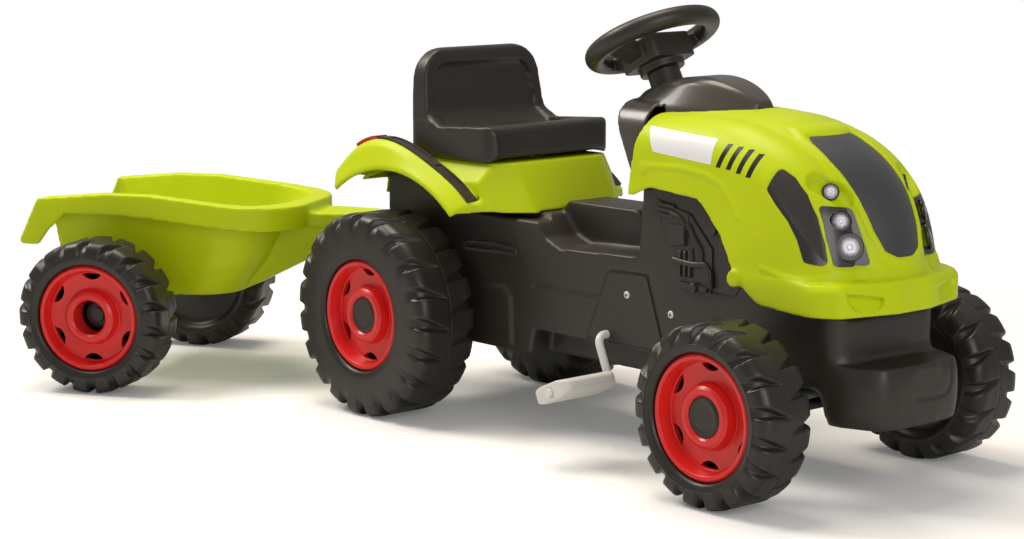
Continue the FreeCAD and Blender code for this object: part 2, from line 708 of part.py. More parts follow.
def build_knuckle(side):
    """A forked steering knuckle with its wheel spindle and a steering arm to the front."""
    x, y = FRONT_X, KINGPIN_Y
    top = BEAM_TOP + EAR_GAP
    low = BEAM_TOP - BEAM_HEIGHT - EAR_GAP - EAR_THICK
    inner = FRONT_TRACK / 2 - FRONT_WHEEL_WIDTH / 2
    web = y + KINGPIN_RADIUS + 8.5
    pieces = []
    for z in (top, low):
        pieces.append(cylinder(V(x, y, z), UP, KINGPIN_RADIUS + 8, EAR_THICK))
        pieces.append(box(x - 12, x + 12, y, inner - 2, z, z + EAR_THICK))
    pieces.append(box(x - 12, x + 12, web, inner - 2, low, top + EAR_THICK))
    pieces.append(plan_prism([
        (x, y + 10), (x, y - 10), (x + STEERING_ARM, y - 14), (x + STEERING_ARM + 9, y - 6),
        (x + STEERING_ARM, y + 2),
    ], low, low + EAR_THICK, 5.0))
    reach = EAR_THICK + TIE_ROD_THICK + 4
    pieces.append(cylinder(V(x + STEERING_ARM, y - 6, low), UP, DROP_PIN_RADIUS, reach))
    end = FRONT_TRACK / 2 + FRONT_WHEEL_WIDTH / 2 - HUB_DEPTH + 3 + SIDE_PLAY
    pieces.append(moved(stub(web + 1, end, AXLE_RADIUS), x, 0, FRONT_Z))
    body = pieces[0].fuse(pieces[1:])
    shoulder = across(x, FRONT_Z, AXLE_RADIUS + 5, inner - 3, inner - SIDE_PLAY)
    body = body.fuse(shoulder)
    bore = cylinder(V(x, y, 0), UP, KINGPIN_RADIUS + RUNNING_CLEARANCE, 300)
    body = body.cut(bore)
    return body if side > 0 else mirrored(body)


def tie_rod_x():
    return FRONT_X + STEERING_ARM


def build_tie_rod():
    """The bar ahead of the axle that joins the steering arms, with a tab back to the drop arm."""
    low = BEAM_TOP - BEAM_HEIGHT + EAR_GAP
    x = tie_rod_x()
    pin = column_point(SHAFT_END + 26, DROP_ARM).x
    bar = box(x - 13, x + 9, -KINGPIN_Y - 4, KINGPIN_Y + 4, low, low + TIE_ROD_THICK)
    tab_low = low - TIE_ROD_THICK - 3
    tab = box(pin - 16, x + 9, -13, 13, tab_low, tab_low + TIE_ROD_THICK)
    spacer = box(x - 10, x + 9, -13, 13, tab_low, low + TIE_ROD_THICK)
    body = bar.fuse([tab, spacer])
    wide = DROP_PIN_RADIUS + 1.2
    slots = [box(pin - 12, pin + 9, -wide, wide, tab_low - 1, tab_low + TIE_ROD_THICK + 1)]
    for side in (-1, 1):
        y = side * (KINGPIN_Y - 6)
        slots.append(box(x - 10, x + 6, y - wide, y + wide, low - 1, low + TIE_ROD_THICK + 1))
    return body.cut(slots)


def build_rear_axle():
    """The driven axle, with a swaged cap at each end."""
    end = REAR_TRACK / 2 + REAR_WHEEL_WIDTH / 2 - HUB_DEPTH + 3 + SIDE_PLAY
    half = stub(0, end, AXLE_RADIUS)
    whole = half.fuse(mirrored(half)).removeSplitter()
    return moved(whole, 0, 0, REAR_Z)


def build_axle_bushes():
    """Flanged plain bushes that carry the rear axle in the chassis walls."""
    inner = REAR_TRACK / 2 - REAR_WHEEL_WIDTH / 2 - SIDE_PLAY
    bushes = []
    for side in (-1, 1):
        sleeve = across(0, REAR_Z, AXLE_RADIUS + 6, CHASSIS_HALF - WALL - 4, inner)
        flange = across(0, REAR_Z, AXLE_RADIUS + 12, CHASSIS_HALF, CHASSIS_HALF + 3)
        bush = sleeve.fuse(flange).cut(across(0, REAR_Z, AXLE_RADIUS + RUNNING_CLEARANCE, 0, 200))
        bushes.append(bush if side > 0 else mirrored(bush))
    return Part.makeCompound(bushes)


def pitch_radius(teeth):
    return CHAIN_PITCH / (2 * math.sin(math.pi / teeth))


def sprocket(teeth, bore, phase):
    """A toothed disc along Y about the origin, with a hub, its first roller seat at a phase."""
    radius = pitch_radius(teeth)
    disc = across(0, 0, radius + TOOTH_TIP, -SPROCKET_THICK / 2, SPROCKET_THICK / 2)
    hub = across(0, 0, bore + 7, -9, 9)
    seats = []
    for i in range(teeth):
        angle = math.radians(phase + 360.0 / teeth * i)
        seats.append(across(radius * math.cos(angle), radius * math.sin(angle),
                            ROLLER_RADIUS + ROLLER_PLAY, -9, 9))
    return disc.cut(seats).fuse(hub).cut(across(0, 0, bore, -20, 20))


def chain_loop(offset):
    """The chain's line round both sprockets, moved out by an offset, as a wire in X and Z."""
    big = pitch_radius(CRANK_TEETH) + offset
    small = pitch_radius(AXLE_TEETH) + offset
    run_x, run_z = CRANK_X, CRANK_Z - REAR_Z
    span = math.hypot(run_x, run_z)
    heading = math.atan2(run_z, run_x)
    lean = math.acos((big - small) / span)

    def on_ring(x, z, radius, angle):
        return V(x + radius * math.cos(angle), 0, z + radius * math.sin(angle))

    front_up = on_ring(CRANK_X, CRANK_Z, big, heading + lean)
    front = on_ring(CRANK_X, CRANK_Z, big, heading)
    front_low = on_ring(CRANK_X, CRANK_Z, big, heading - lean)
    rear_low = on_ring(0, REAR_Z, small, heading - lean)
    rear = on_ring(0, REAR_Z, small, heading + math.pi)
    rear_up = on_ring(0, REAR_Z, small, heading + lean)
    edges = [
        Part.Arc(front_up, front, front_low).toShape(),
        Part.LineSegment(front_low, rear_low).toShape(),
        Part.Arc(rear_low, rear, rear_up).toShape(),
        Part.LineSegment(rear_up, front_up).toShape(),
    ]
    return Part.Wire(edges)


def chain_links():
    return int(round(chain_loop(0).Length / CHAIN_PITCH))


def build_chain():
    """Two plates round the loop with a roller at every pitch between them."""
    outer = chain_loop(CHAIN_HALF_HEIGHT)
    inner = chain_loop(-CHAIN_HALF_HEIGHT)
    band = Part.Face(outer).cut(Part.Face(inner))
    near = SPROCKET_THICK / 2 + PANEL_GAP
    plates = []
    for start in (near, -near - CHAIN_PLATE):
        plate = band.extrude(V(0, CHAIN_PLATE, 0))
        plates.append(moved(plate, 0, start))
    loop = chain_loop(0)
    links = chain_links()
    start = loop.Edges[0].Length / 2
    rollers = []
    for i in range(links):
        place = point_along(loop, (start + i * loop.Length / links) % loop.Length)
        rollers.append(across(place.x, place.z, ROLLER_RADIUS, -near, near))
    body = plates[0].fuse(rollers + [plates[1]])
    return moved(body, 0, CHAIN_Y)


def point_along(wire, distance):
    """The point that far along a wire."""
    for edge in wire.OrderedEdges:
        if distance <= edge.Length:
            if edge.Orientation == "Reversed":
                distance = edge.Length - distance
            return edge.valueAt(edge.getParameterByLength(distance))
        distance -= edge.Length
    return wire.OrderedVertexes[0].Point


def sprocket_heading():
    return math.degrees(math.atan2(CRANK_Z - REAR_Z, CRANK_X))


def build_crank_sprocket():
    gear = sprocket(CRANK_TEETH, CRANK_RADIUS + SEAT_CLEARANCE, sprocket_heading())
    return moved(gear, CRANK_X, CHAIN_Y, CRANK_Z)


def build_rear_sprocket():
    half_step = 180.0 / AXLE_TEETH if chain_links() % 2 else 0.0
    gear = sprocket(AXLE_TEETH, AXLE_RADIUS + SEAT_CLEARANCE, sprocket_heading() + 180 + half_step)
    return moved(gear, 0, CHAIN_Y, REAR_Z)


def crank_offset():
    """From the crank's axis to its right-hand pedal spindle."""
    angle = math.radians(CRANK_ANGLE)
    return V(CRANK_THROW * math.cos(angle), 0, CRANK_THROW * math.sin(angle))


def pedal_end():
    return CRANK_ARM_Y + CRANK_RADIUS + 2 + PEDAL_LENGTH


def build_crank():
    """One bent steel rod: two spindles, two arms and the shaft between them."""
    axis = V(CRANK_X, 0, CRANK_Z)
    throw = crank_offset()
    arm = V(0, CRANK_ARM_Y, 0)
    tip = V(0, pedal_end() + 4, 0)
    rod = bent_rod([
        axis + throw - tip, axis + throw - arm, axis - arm, axis + arm,
        axis - throw + arm, axis - throw + tip,
    ], CRANK_RADIUS, CRANK_BEND)
    return rod


def build_pedal(side):
    """A rounded pedal block that turns freely on the crank's spindle."""
    wide = PEDAL_WIDTH / 2
    thick = PEDAL_THICK / 2
    y0 = CRANK_ARM_Y + CRANK_BEND + 1
    block = side_prism([
        (-wide, -thick * 0.6), (-wide, thick * 0.6), (-wide * 0.5, thick), (wide * 0.5, thick),
        (wide, thick * 0.6), (wide, -thick * 0.6), (wide * 0.5, -thick), (-wide * 0.5, -thick),
    ], y0, pedal_end(), 6.0)
    ends = plan_prism([(-wide, y0), (wide, y0), (wide, pedal_end()), (-wide, pedal_end())], -40, 40, 12.0)
    body = block.common(ends).cut(across(0, 0, CRANK_RADIUS + RUNNING_CLEARANCE, 0, 400))
    body.rotate(ORIGIN, ALONG_Y, -PEDAL_TILT)
    throw = crank_offset() * (-side)
    body = body if side > 0 else mirrored(body)
    return moved(body, CRANK_X + throw.x, 0, CRANK_Z + throw.z)


def bonnet_section(angle, x, height, base, corner, crown, radius, inset, reach):
    """One inverted-U section of the bonnet, in a plane swung forward from upright by an angle."""
    swing = math.radians(angle)
    pivot = V(x, 0, BONNET_BOTTOM)
    outward = V(math.sin(swing), 0, math.cos(swing))
    foot = 14.0 - reach / 4
    top = height - inset

    def at(y, u):
        return pivot + outward * u + V(0, y, 0)

    base = base - inset
    corner = corner - inset
    radius = radius - inset * 0.8
    shoulder = top - crown
    up = at(-corner, shoulder) - at(-base, foot)
    up.normalize()
    into = V(0, 1, 0)
    half = (-up).getAngle(into) / 2
    reach = radius / math.tan(half)
    bisector = into - up
    bisector.normalize()
    middle = at(-corner, shoulder) + bisector * (radius / math.sin(half) - radius)
    low = at(-corner, shoulder) - up * reach
    high = at(-corner + reach, shoulder)

    def flipped(point):
        return V(point.x, -point.y, point.z)

    edges = [
        Part.LineSegment(at(-base, foot), low).toShape(),
        Part.Arc(low, middle, high).toShape(),
        Part.Arc(high, at(0, top), flipped(high)).toShape(),
        Part.Arc(flipped(high), flipped(middle), flipped(low)).toShape(),
        Part.LineSegment(flipped(low), at(base, foot)).toShape(),
        Part.LineSegment(at(base, foot), at(-base, foot)).toShape(),
    ]
    return Part.Wire(edges)


def bonnet_pivot():
    return FRONT_X - 58.0


FORMS = {}


def bonnet_form(inset, reach=0.0, part="nose"):
    """The rear or nose half of the bonnet's form as a solid, drawn in by an inset.

    The nose's sections fan forward about a pivot low in the bonnet, and the rear's stand upright.
    A reach lets the form out past its open edges."""
    if (inset, reach, part) in FORMS:
        return FORMS[(inset, reach, part)]
    pivot = bonnet_pivot()
    rear = [
        (0, BONNET_REAR - 8 - reach, 206, 108, 99, 6, 42),
        (0, pivot - 132, 209, 110, 101, 7, 43),
        (0, pivot - 88, 211, 112, 102, 8, 45),
        (0, pivot - 44, 210, 114, 103, 8, 46),
        (0, pivot, 205, 116, 104, 9, 48),
    ]
    nose = [
        (0, pivot, 205, 116, 104, 9, 48),
        (11, pivot, 199, 117, 105, 10, 49),
        (22, pivot, 194, 117, 105, 10, 50),
        (34, pivot, 193, 117, 105, 15, 51),
        (47, pivot, 188, 117, 104, 18, 51),
        (59, pivot, 180, 117, 104, 20, 50),
        (70, pivot, 174, 117, 105, 22, 48),
        (80, pivot, 171, 117, 106, 23, 46),
        (90, pivot, 173, 117, 107, 24, 44),
    ]
    if reach:
        nose.append((99, pivot, 177, 117, 107, 26, 44))
    sections = rear if part == "rear" else nose
    wires = [bonnet_section(*s, inset, reach) for s in sections]
    FORMS[(inset, reach, part)] = Part.makeLoft(wires, True, False)
    return FORMS[(inset, reach, part)]


def bumper_band(grow, z0, z1):
    """A slice of the nose's plan outline, let out by an amount."""
    pivot = bonnet_pivot()
    nose = pivot + 173 + grow
    half = 117 + grow
    return plan_prism([
        (pivot + 24, -half), (nose - 50, -half), (nose - 20, -half + 20), (nose, -30),
        (nose, 30), (nose - 20, half - 20), (nose - 50, half), (pivot + 24, half),
    ], z0, z1, 16.0)


def grille_outline():
    """The grille opening in the nose, seen from the front."""
    near = [(-14, 270), (-29, 278), (-37, 300), (-41, 325), (-44, 350), (-45, 372), (-42, 390), (-36, 397)]
    far = [(-y, z) for y, z in reversed(near)]
    return near + far


def lamp_outline(side):
    """The lamp panel on a front corner, seen from the front."""
    points = [(52, 326), (88, 330), (90, 296), (87, 261), (46, 264), (50, 294)]
    return [(side * y, z) for y, z in points]


def lamp_places():
    """Across, height and lens radius of the three lamps on a corner, the top one on its own."""
    return ((70, 345, 9.5), (72, 313, 10.0), (68, 285, 13.0))


def vent_outline():
    """The side air vent insert, seen from the side and measured from the front axle."""
    points = [
        (3, 368), (-6, 343), (8, 328), (26, 311), (39, 292), (49, 268), (73, 264), (67, 289), (56, 317),
        (40, 341), (22, 358),
    ]
    return [(FRONT_X + x, z) for x, z in points]


def bonnet_edge():
    """What is cut from under the bonnet's side edge, seen from the side."""
    return [
        (BONNET_REAR - 40, 190), (BONNET_REAR - 40, BAY_TOP - 20), (BONNET_REAR + 8, BAY_TOP - 20),
        (BONNET_REAR + 34, BAY_TOP - 8), (BONNET_REAR + 118, BAY_TOP - 14),
        (FRONT_X - 72, BAY_TOP - 50),
        (FRONT_X - 40, BONNET_BOTTOM + 24), (FRONT_X - 12, BONNET_BOTTOM + 5),
        (FRONT_X + 40, BONNET_BOTTOM + 1), (NOSE_X + 60, BONNET_BOTTOM + 1), (NOSE_X + 60, 190),
    ]


def build_bonnet():
    """The lime hood: one shell with its bumper, cut out round the cowl's hump."""
    band = bumper_band(5.0, BONNET_BOTTOM, BONNET_BOTTOM + 32)
    lip = bumper_band(2.0, BONNET_BOTTOM + 32, BONNET_BOTTOM + 37)
    nose = bonnet_form(0.0).fuse([band, lip]).cut(bonnet_form(BONNET_WALL, 20.0))
    rear = bonnet_form(0.0, 0.0, "rear").cut(bonnet_form(BONNET_WALL, 20.0, "rear"))
    shell = nose.fuse(rear)
    back = side_prism([
        (BONNET_REAR - 60, 290), (BONNET_REAR - 4, 290), (BONNET_REAR, 330), (BONNET_REAR + 6, 372),
        (BONNET_REAR + 14, 400), (BONNET_REAR + 18, 440), (BONNET_REAR - 60, 440),
    ], -200, 200, 20.0)
    edge = side_prism(bonnet_edge(), -200, 200, 26.0)
    hole = plan_prism(hump_plan(-2.0), 380, 470, 14.0)
    shell = shell.cut([back, edge, hole])
    hinge_x = FRONT_X + BONNET_HINGE_AHEAD
    wall = bonnet_form(BONNET_WALL - 0.5)
    for y in (-36.0, 24.0):
        ear = side_prism([
            (hinge_x - 7, BONNET_HINGE_Z - 6), (hinge_x - 7, BONNET_HINGE_Z + 6),
            (hinge_x + 20, BONNET_HINGE_Z + 14), (hinge_x + 20, BONNET_HINGE_Z - 8),
        ], y, y + 12, 3.0)
        shell = shell.fuse(ear.common(wall))
    pin = across(hinge_x, BONNET_HINGE_Z, HINGE_PIN_RADIUS + RUNNING_CLEARANCE, -60, 60)
    shell = shell.cut(pin)
    peg = across(FRONT_X - 45, BONNET_BOTTOM + 30, 9.5, -bonnet_side() - 4, -bonnet_side() + 4)
    shell = shell.fuse([peg, mirrored(peg)])
    zones = [front_prism(grille_outline(), bonnet_pivot() - 10, NOSE_X + 60, 8.0)]
    for side in (-1, 1):
        zones.append(front_prism(lamp_outline(side), bonnet_pivot() + 60, NOSE_X + 60, 5.0))
        zones.append(side_prism(vent_outline(), side * 60, side * 140, 5.0))
        y, z, radius = lamp_places()[0]
        zones.append(cylinder(V(bonnet_pivot() + 60, side * y, z), ALONG_X, radius + PANEL_GAP / 2, 200))
    pocket = bonnet_form(INSET_DEPTH)
    for zone in zones:
        shell = shell.cut(zone.cut(pocket))
    return shell


def bonnet_side():
    return 114.0


def inset_piece(zone):
    """A thin insert that follows the bonnet's surface inside a zone, just under its skin."""
    return zone.common(bonnet_form(PANEL_GAP)).cut(bonnet_form(INSET_DEPTH - SEAT_CLEARANCE))


def build_grille():
    wire = rounded([V(bonnet_pivot() - 10, y, z) for y, z in grille_outline()], 8.0)
    zone = Part.Face(shrunk(wire, PANEL_GAP)).extrude(V(250, 0, 0))
    return inset_piece(zone)


def build_side_vent(side):
    wire = shrunk(side_wire(vent_outline(), side * 60, 5.0), PANEL_GAP)
    return inset_piece(Part.Face(wire).extrude(V(0, side * 80, 0)))


def build_lamp_panel(side):
    """The dark panel behind three lamps, with a seat drilled for each."""
    wire = rounded([V(bonnet_pivot() + 60, y, z) for y, z in lamp_outline(side)], 5.0)
    zone = Part.Face(shrunk(wire, PANEL_GAP)).extrude(V(200, 0, 0))
    panel = inset_piece(zone)
    seats = []
    for y, z, radius in lamp_places()[1:]:
        seats.append(cylinder(V(bonnet_pivot() + 60, side * y, z), ALONG_X, radius + PANEL_GAP / 2, 200))
    return panel.cut(seats)


def build_lenses():
    """Six clear lamp lenses, three on each front corner."""
    over = bonnet_form(-1.5)
    under = bonnet_form(INSET_DEPTH - SEAT_CLEARANCE)
    lenses = []
    for side in (-1, 1):
        for y, z, radius in lamp_places():
            rod = cylinder(V(bonnet_pivot() + 60, side * y, z), ALONG_X, radius, 200)
            lenses += rod.common(over).cut(under).Solids
    return Part.makeCompound(lenses)


def build_hinge_pin():
    x = FRONT_X + BONNET_HINGE_AHEAD
    return across(x, BONNET_HINGE_Z, HINGE_PIN_RADIUS, -54, 54)


FENDER_STATIONS = ((126, 212, 8), (112, 221, 14), (100, 223, 24), (85, 213, 16), (66, 204, 4), (47, 206, 3))


def wheel_plane(angle, points):
    """A closed wire in the plane through the rear axle at an angle, from Y and radius pairs."""
    turn = math.radians(angle)
    out = V(math.cos(turn), 0, math.sin(turn))
    corners = [V(0, y, REAR_Z) + out * r for y, r in points]
    return Part.makePolygon(corners + [corners[0]])


def fender_section(angle, crest, fall):
    """One section of the right fender: lip, shoulder, crest and the fall to the seat platform."""
    lip = REAR_WHEEL_RADIUS + FENDER_GAP
    y = FENDER_LIP_Y
    c = FENDER_CREST_Y
    step = crest - fall
    points = [
        (-y, lip - 3), (-y, lip + 3), (-c - 16, crest - 8), (-c - 9, crest), (-c + 9, crest),
        (-c + 17, step),
        (-c + 42, step - 1), (-c + 42, step - 5), (-c + 16, step - 4), (-c + 7, crest - 4),
        (-c - 7, crest - 4),
        (-c - 12, crest - 10), (-y + 4, lip), (-y + 4, lip - 3),
    ]
    return wheel_plane(angle, points)


def strip_on_crest(low, high, half):
    """A strip laid along the whole crest of the right fender."""
    c = FENDER_CREST_Y
    wires = []
    for angle, crest, _ in FENDER_STATIONS:
        wires.append(wheel_plane(angle, [
            (-c - half, crest + low), (-c - half, crest + high), (-c + half, crest + high),
            (-c + half, crest + low),
        ]))
    return Part.makeLoft(wires, True, False)


def deck_plan(z, level):
    """The deck's outline at the seat platform and at its skirt, from above."""
    top = [(-78, -96), (146, -96), (163, -72), (163, 72), (146, 96), (-78, 96)]
    low = [(-92, -138), (124, -146), (197, -72), (197, 72), (124, 146), (-92, 138)]
    points = top if level == "platform" else low
    return plan_wire(points, z, 0.0)


def build_deck():
    """The lime deck: seat platform, sloping front panel and both fenders in one shell."""
    skirt_z = DECK_TOP - 60
    platform = deck_plan(DECK_TOP, "platform")
    skirt = deck_plan(skirt_z, "skirt")
    outer = Part.makeLoft([skirt, platform], True, True)
    inner_low = shrunk(deck_plan(skirt_z - 0.1, "skirt"), DECK_WALL)
    inner_top = shrunk(deck_plan(DECK_TOP - DECK_WALL, "platform"), DECK_WALL)
    inner = Part.makeLoft([inner_low, inner_top], True, True)
    shell = outer.cut(inner)
    arch = REAR_WHEEL_RADIUS + FENDER_GAP - 3
    for y0 in (-260.0, 78.0):
        shell = shell.cut(across(0, REAR_Z, arch, y0, y0 + 182))
    fender = Part.makeLoft([fender_section(*s) for s in FENDER_STATIONS], True, False)
    shell = shell.fuse([fender, mirrored(fender)])
    channel = strip_on_crest(-PANEL_GAP, TRIM_THICK + 30, TRIM_WIDTH / 2 + PANEL_GAP)
    channel = channel.common(sector(64.0, 46.5, FENDER_CREST_Y, 20.0))
    shell = shell.cut([channel, mirrored(channel)])
    room = Part.Face(shrunk(side_wire(chassis_outline(), -CHASSIS_HALF - 0.3, 7.0), -0.3))
    room = room.extrude(V(0, 2 * CHASSIS_HALF + 0.6, 0))
    for side in (-1, 1):
        room = room.cut(deck_notch(side, -0.3))
    below = box(CHASSIS_REAR - 1, SILL_REAR, -CHASSIS_HALF - 1, CHASSIS_HALF + 1, 0, DECK_TOP - DECK_WALL)
    shell = shell.cut(below.common(room))
    for x in seat_bolt_places():
        shell = shell.cut(slot_cut(x, DECK_TOP - DECK_WALL - 1, DECK_TOP + 1))
    return shell


def build_fender_trim(side):
    """The dark strip along a fender's crest, with two sunk recesses."""
    half = TRIM_WIDTH / 2
    strip = strip_on_crest(PANEL_GAP, TRIM_THICK, half).common(sector(100.0, 48.0, FENDER_CREST_Y, 20.0))
    sunk = strip_on_crest(1.2, TRIM_THICK + 2, half)
    keep = []
    for start, finish in ((95.0, 74.0), (70.0, 53.0)):
        keep.append(sector(start, finish, FENDER_CREST_Y, half - 3.5))
    strip = strip.cut(sunk.common(Part.makeCompound(keep)))
    return mirrored(strip) if side > 0 else strip


def sector(start, finish, y, half):
    """A wedge about the rear axle between two angles, on the right-hand fender."""
    corners = [V(0, -y - half, REAR_Z)]
    for angle in (start, finish):
        turn = math.radians(angle)
        corners.append(V(400 * math.cos(turn), -y - half, REAR_Z + 400 * math.sin(turn)))
    wire = Part.makePolygon(corners + [corners[0]])
    return Part.Face(wire).extrude(V(0, 2 * half, 0))


def build_tail_lamps():
    """A red and white lamp at the rear end of each fender trim."""
    lamp = strip_on_crest(PANEL_GAP, TRIM_THICK + 1.5, TRIM_WIDTH / 2)
    lamp = lamp.common(sector(111.5, 100.2, FENDER_CREST_Y, 20.0))
    return Part.makeCompound([lamp, mirrored(lamp)])


def seat_form(inset):
    """The seat's outer form, drawn in by an inset: side, front and plan outlines crossed."""
    pan = DECK_TOP + SEAT_PAN_HEIGHT
    low = DECK_TOP - (10 if inset else 0)
    back = SEAT_BACK_TOP - inset
    side = side_prism([
        (SEAT_REAR + inset, low), (SEAT_FRONT - inset, low), (SEAT_FRONT - 4 - inset, pan + 2 - inset),
        (SEAT_REAR + 62, pan - 4 - inset), (SEAT_REAR + 38 - inset, pan + 10),
        (SEAT_REAR + 27 - inset, back),
        (SEAT_REAR + 8 + inset, back),
    ], -120, 120, 12.0)
    half = SEAT_HALF - inset
    front = front_prism([
        (-half, low), (half, low), (half - 2, pan + 8), (half - 10, back), (-half + 10, back),
        (-half + 2, pan + 8),
    ], -60, 220, 40.0)
    foot = front_prism([(-half, low), (half, low), (half, pan), (-half, pan)], -60, 220, 0.0)
    plan = plan_prism([
        (SEAT_REAR + inset, -half), (SEAT_FRONT - inset, -half), (SEAT_FRONT - inset, half),
        (SEAT_REAR + inset, half),
    ], low, back + 1, 22.0)
    return side.common(front.fuse(foot)).common(plan).cut(seat_scoop(inset))


def seat_scoop(inset):
    """The hollow that the rider sits in, a rim's width in from the sides, the top and the front."""
    pan = DECK_TOP + SEAT_PAN_HEIGHT
    deep = SEAT_SCOOP + inset
    top = SEAT_BACK_TOP - SEAT_RIM + inset
    half = SEAT_HALF - SEAT_RIM + inset
    side = side_prism([
        (SEAT_FRONT - SEAT_RIM + inset, pan + 40), (SEAT_FRONT - SEAT_RIM + inset, pan + 2 - inset),
        (SEAT_REAR + 64, pan - 4 - deep), (SEAT_REAR + 40 - deep, pan + 10),
        (SEAT_REAR + 29 - deep, top),
        (SEAT_REAR + 60, top + 4),
    ], -half, half, 12.0)
    front = front_prism([
        (-half, pan - 30), (half, pan - 30), (half, pan + 8), (half - 8, top), (-half + 8, top),
        (-half, pan + 8),
    ], -60, 220, 30.0)
    low = pan - 30
    high = pan + 30
    foot = front_prism([(-half, low), (half, low), (half, high), (-half, high)], -60, 220, 0.0)
    return side.common(front.fuse(foot))


def build_seat():
    """The moulded seat shell, hollow underneath, with a boss for each bolt."""
    shell = seat_form(0.0).cut(seat_form(SEAT_WALL))
    inside = seat_form(SEAT_WALL / 2).common(box(-100, 300, -200, 200, DECK_TOP, 600))
    bosses = []
    bores = []
    for x in seat_bolt_places():
        boss = cylinder(V(x, 0, DECK_TOP), UP, SEAT_BOLT_RADIUS + 5, SEAT_PAN_HEIGHT + 8)
        bosses.append(boss.common(inside))
        bores.append(cylinder(V(x, 0, DECK_TOP - 1), UP, SEAT_BOLT_RADIUS + SEAT_CLEARANCE, 26.0))
    return shell.fuse(bosses).cut(bores)


def build_seat_bolts():
    """Two bolts that clamp the seat through the deck's slots, heads down."""
    bolts = []
    under = DECK_TOP - DECK_WALL - WALL
    for x in seat_bolt_places():
        shank = cylinder(V(x, 0, under - 3), UP, SEAT_BOLT_RADIUS, DECK_TOP - under + 24)
        head = cylinder(V(x, 0, under - 7), UP, SEAT_BOLT_RADIUS + 6, 6.6)
        bolts.append(shank.fuse(head))
    return Part.makeCompound(bolts)


def build_hitch_bracket():
    """Two shelves behind the chassis that hold the hitch pin above and below the tongue."""
    shelves = []
    for low in (TONGUE_BOTTOM - 8.0, TONGUE_TOP + 2.0):
        shelves.append(plan_prism([
            (CHASSIS_REAR - 6, -26), (HITCH_X + 4, -20), (HITCH_X - 14, -12), (HITCH_X - 14, 12),
            (HITCH_X + 4, 20), (CHASSIS_REAR - 6, 26),
        ], low, low + 6, 6.0))
    plate = box(CHASSIS_REAR - 8, CHASSIS_REAR, -40, 40, TONGUE_BOTTOM - 30, TONGUE_TOP + 30)
    body = plate.fuse(shelves)
    return body.cut(cylinder(V(HITCH_X, 0, 0), UP, HITCH_PIN_RADIUS + SEAT_CLEARANCE, 400))


def build_hitch_pin():
    """A drop-in pin with a round knob."""
    foot = V(HITCH_X, 0, TONGUE_BOTTOM - 16)
    shank = cylinder(foot, UP, HITCH_PIN_RADIUS, TONGUE_TOP + 8 - foot.z)
    knob = cylinder(V(HITCH_X, 0, TONGUE_TOP + 8), UP, HITCH_PIN_RADIUS + 6, 10.0)
    knob = knob.makeFillet(2.5, knob.Edges)
    return shank.fuse(knob)


def tub_plan(half, front, rear, z, radius):
    """The tub's outline from above: square at the rear, rounded at the front."""
    points = [(rear, -half), (front, -half), (front, half), (rear, half)]
    return rounded_front(points, z, radius)


def rounded_front(points, z, radius):
    """A four-cornered outline whose two front corners are rounded."""
    (rear, y0), (front, _), _, (_, y1) = points
    bend = radius * (1 - math.sqrt(0.5))
    start = V(front - radius, y0, z)
    finish = V(front - radius, y1, z)
    arcs = [
        Part.LineSegment(V(rear, y0, z), start).toShape(),
        Part.Arc(start, V(front - bend, y0 + bend, z), V(front, y0 + radius, z)).toShape(),
        Part.LineSegment(V(front, y0 + radius, z), V(front, y1 - radius, z)).toShape(),
        Part.Arc(V(front, y1 - radius, z), V(front - bend, y1 - bend, z), finish).toShape(),
        Part.LineSegment(finish, V(rear, y1, z)).toShape(),
        Part.LineSegment(V(rear, y1, z), V(rear, y0, z)).toShape(),
    ]
    return Part.Wire(arcs)


def tub_bowl(inset):
    """The tub's tapering bowl, drawn in by an inset."""
    brim = TUB_HALF - TUB_SKIRT - inset
    floor = TUB_FLOOR + inset
    sections = [
        tub_plan(brim - 34, TUB_FRONT - 104 - inset, TUB_REAR + 26 + inset, floor, 58),
        tub_plan(brim - 20, TUB_FRONT - 66 - inset, TUB_REAR + 14 + inset, floor + 44, 66),
        tub_plan(brim, TUB_FRONT - 10 - inset, TUB_REAR + inset, 270, 88),
    ]
    return Part.makeLoft(sections, True, True)


def tub_rim_outline(drop):
    """The rolled rim seen from the side, its top lowered by a drop."""
    return [
        (TUB_TAIL, 186), (TUB_REAR - 7, 251 - drop), (TUB_REAR + 90, 260 - drop),
        (TUB_REAR + 160, 260 - drop),
        (TUB_FRONT - 60, 247 - drop), (TUB_FRONT + 10, 245 - drop), (TUB_FRONT + 10, 213),
        (TUB_FRONT - 40, 213),
        (TUB_REAR + 160, 227), (TUB_REAR + 90, 231), (TUB_REAR + 36, 231), (TUB_REAR + 8, 205),
        (TUB_REAR - 6, 186),
    ]


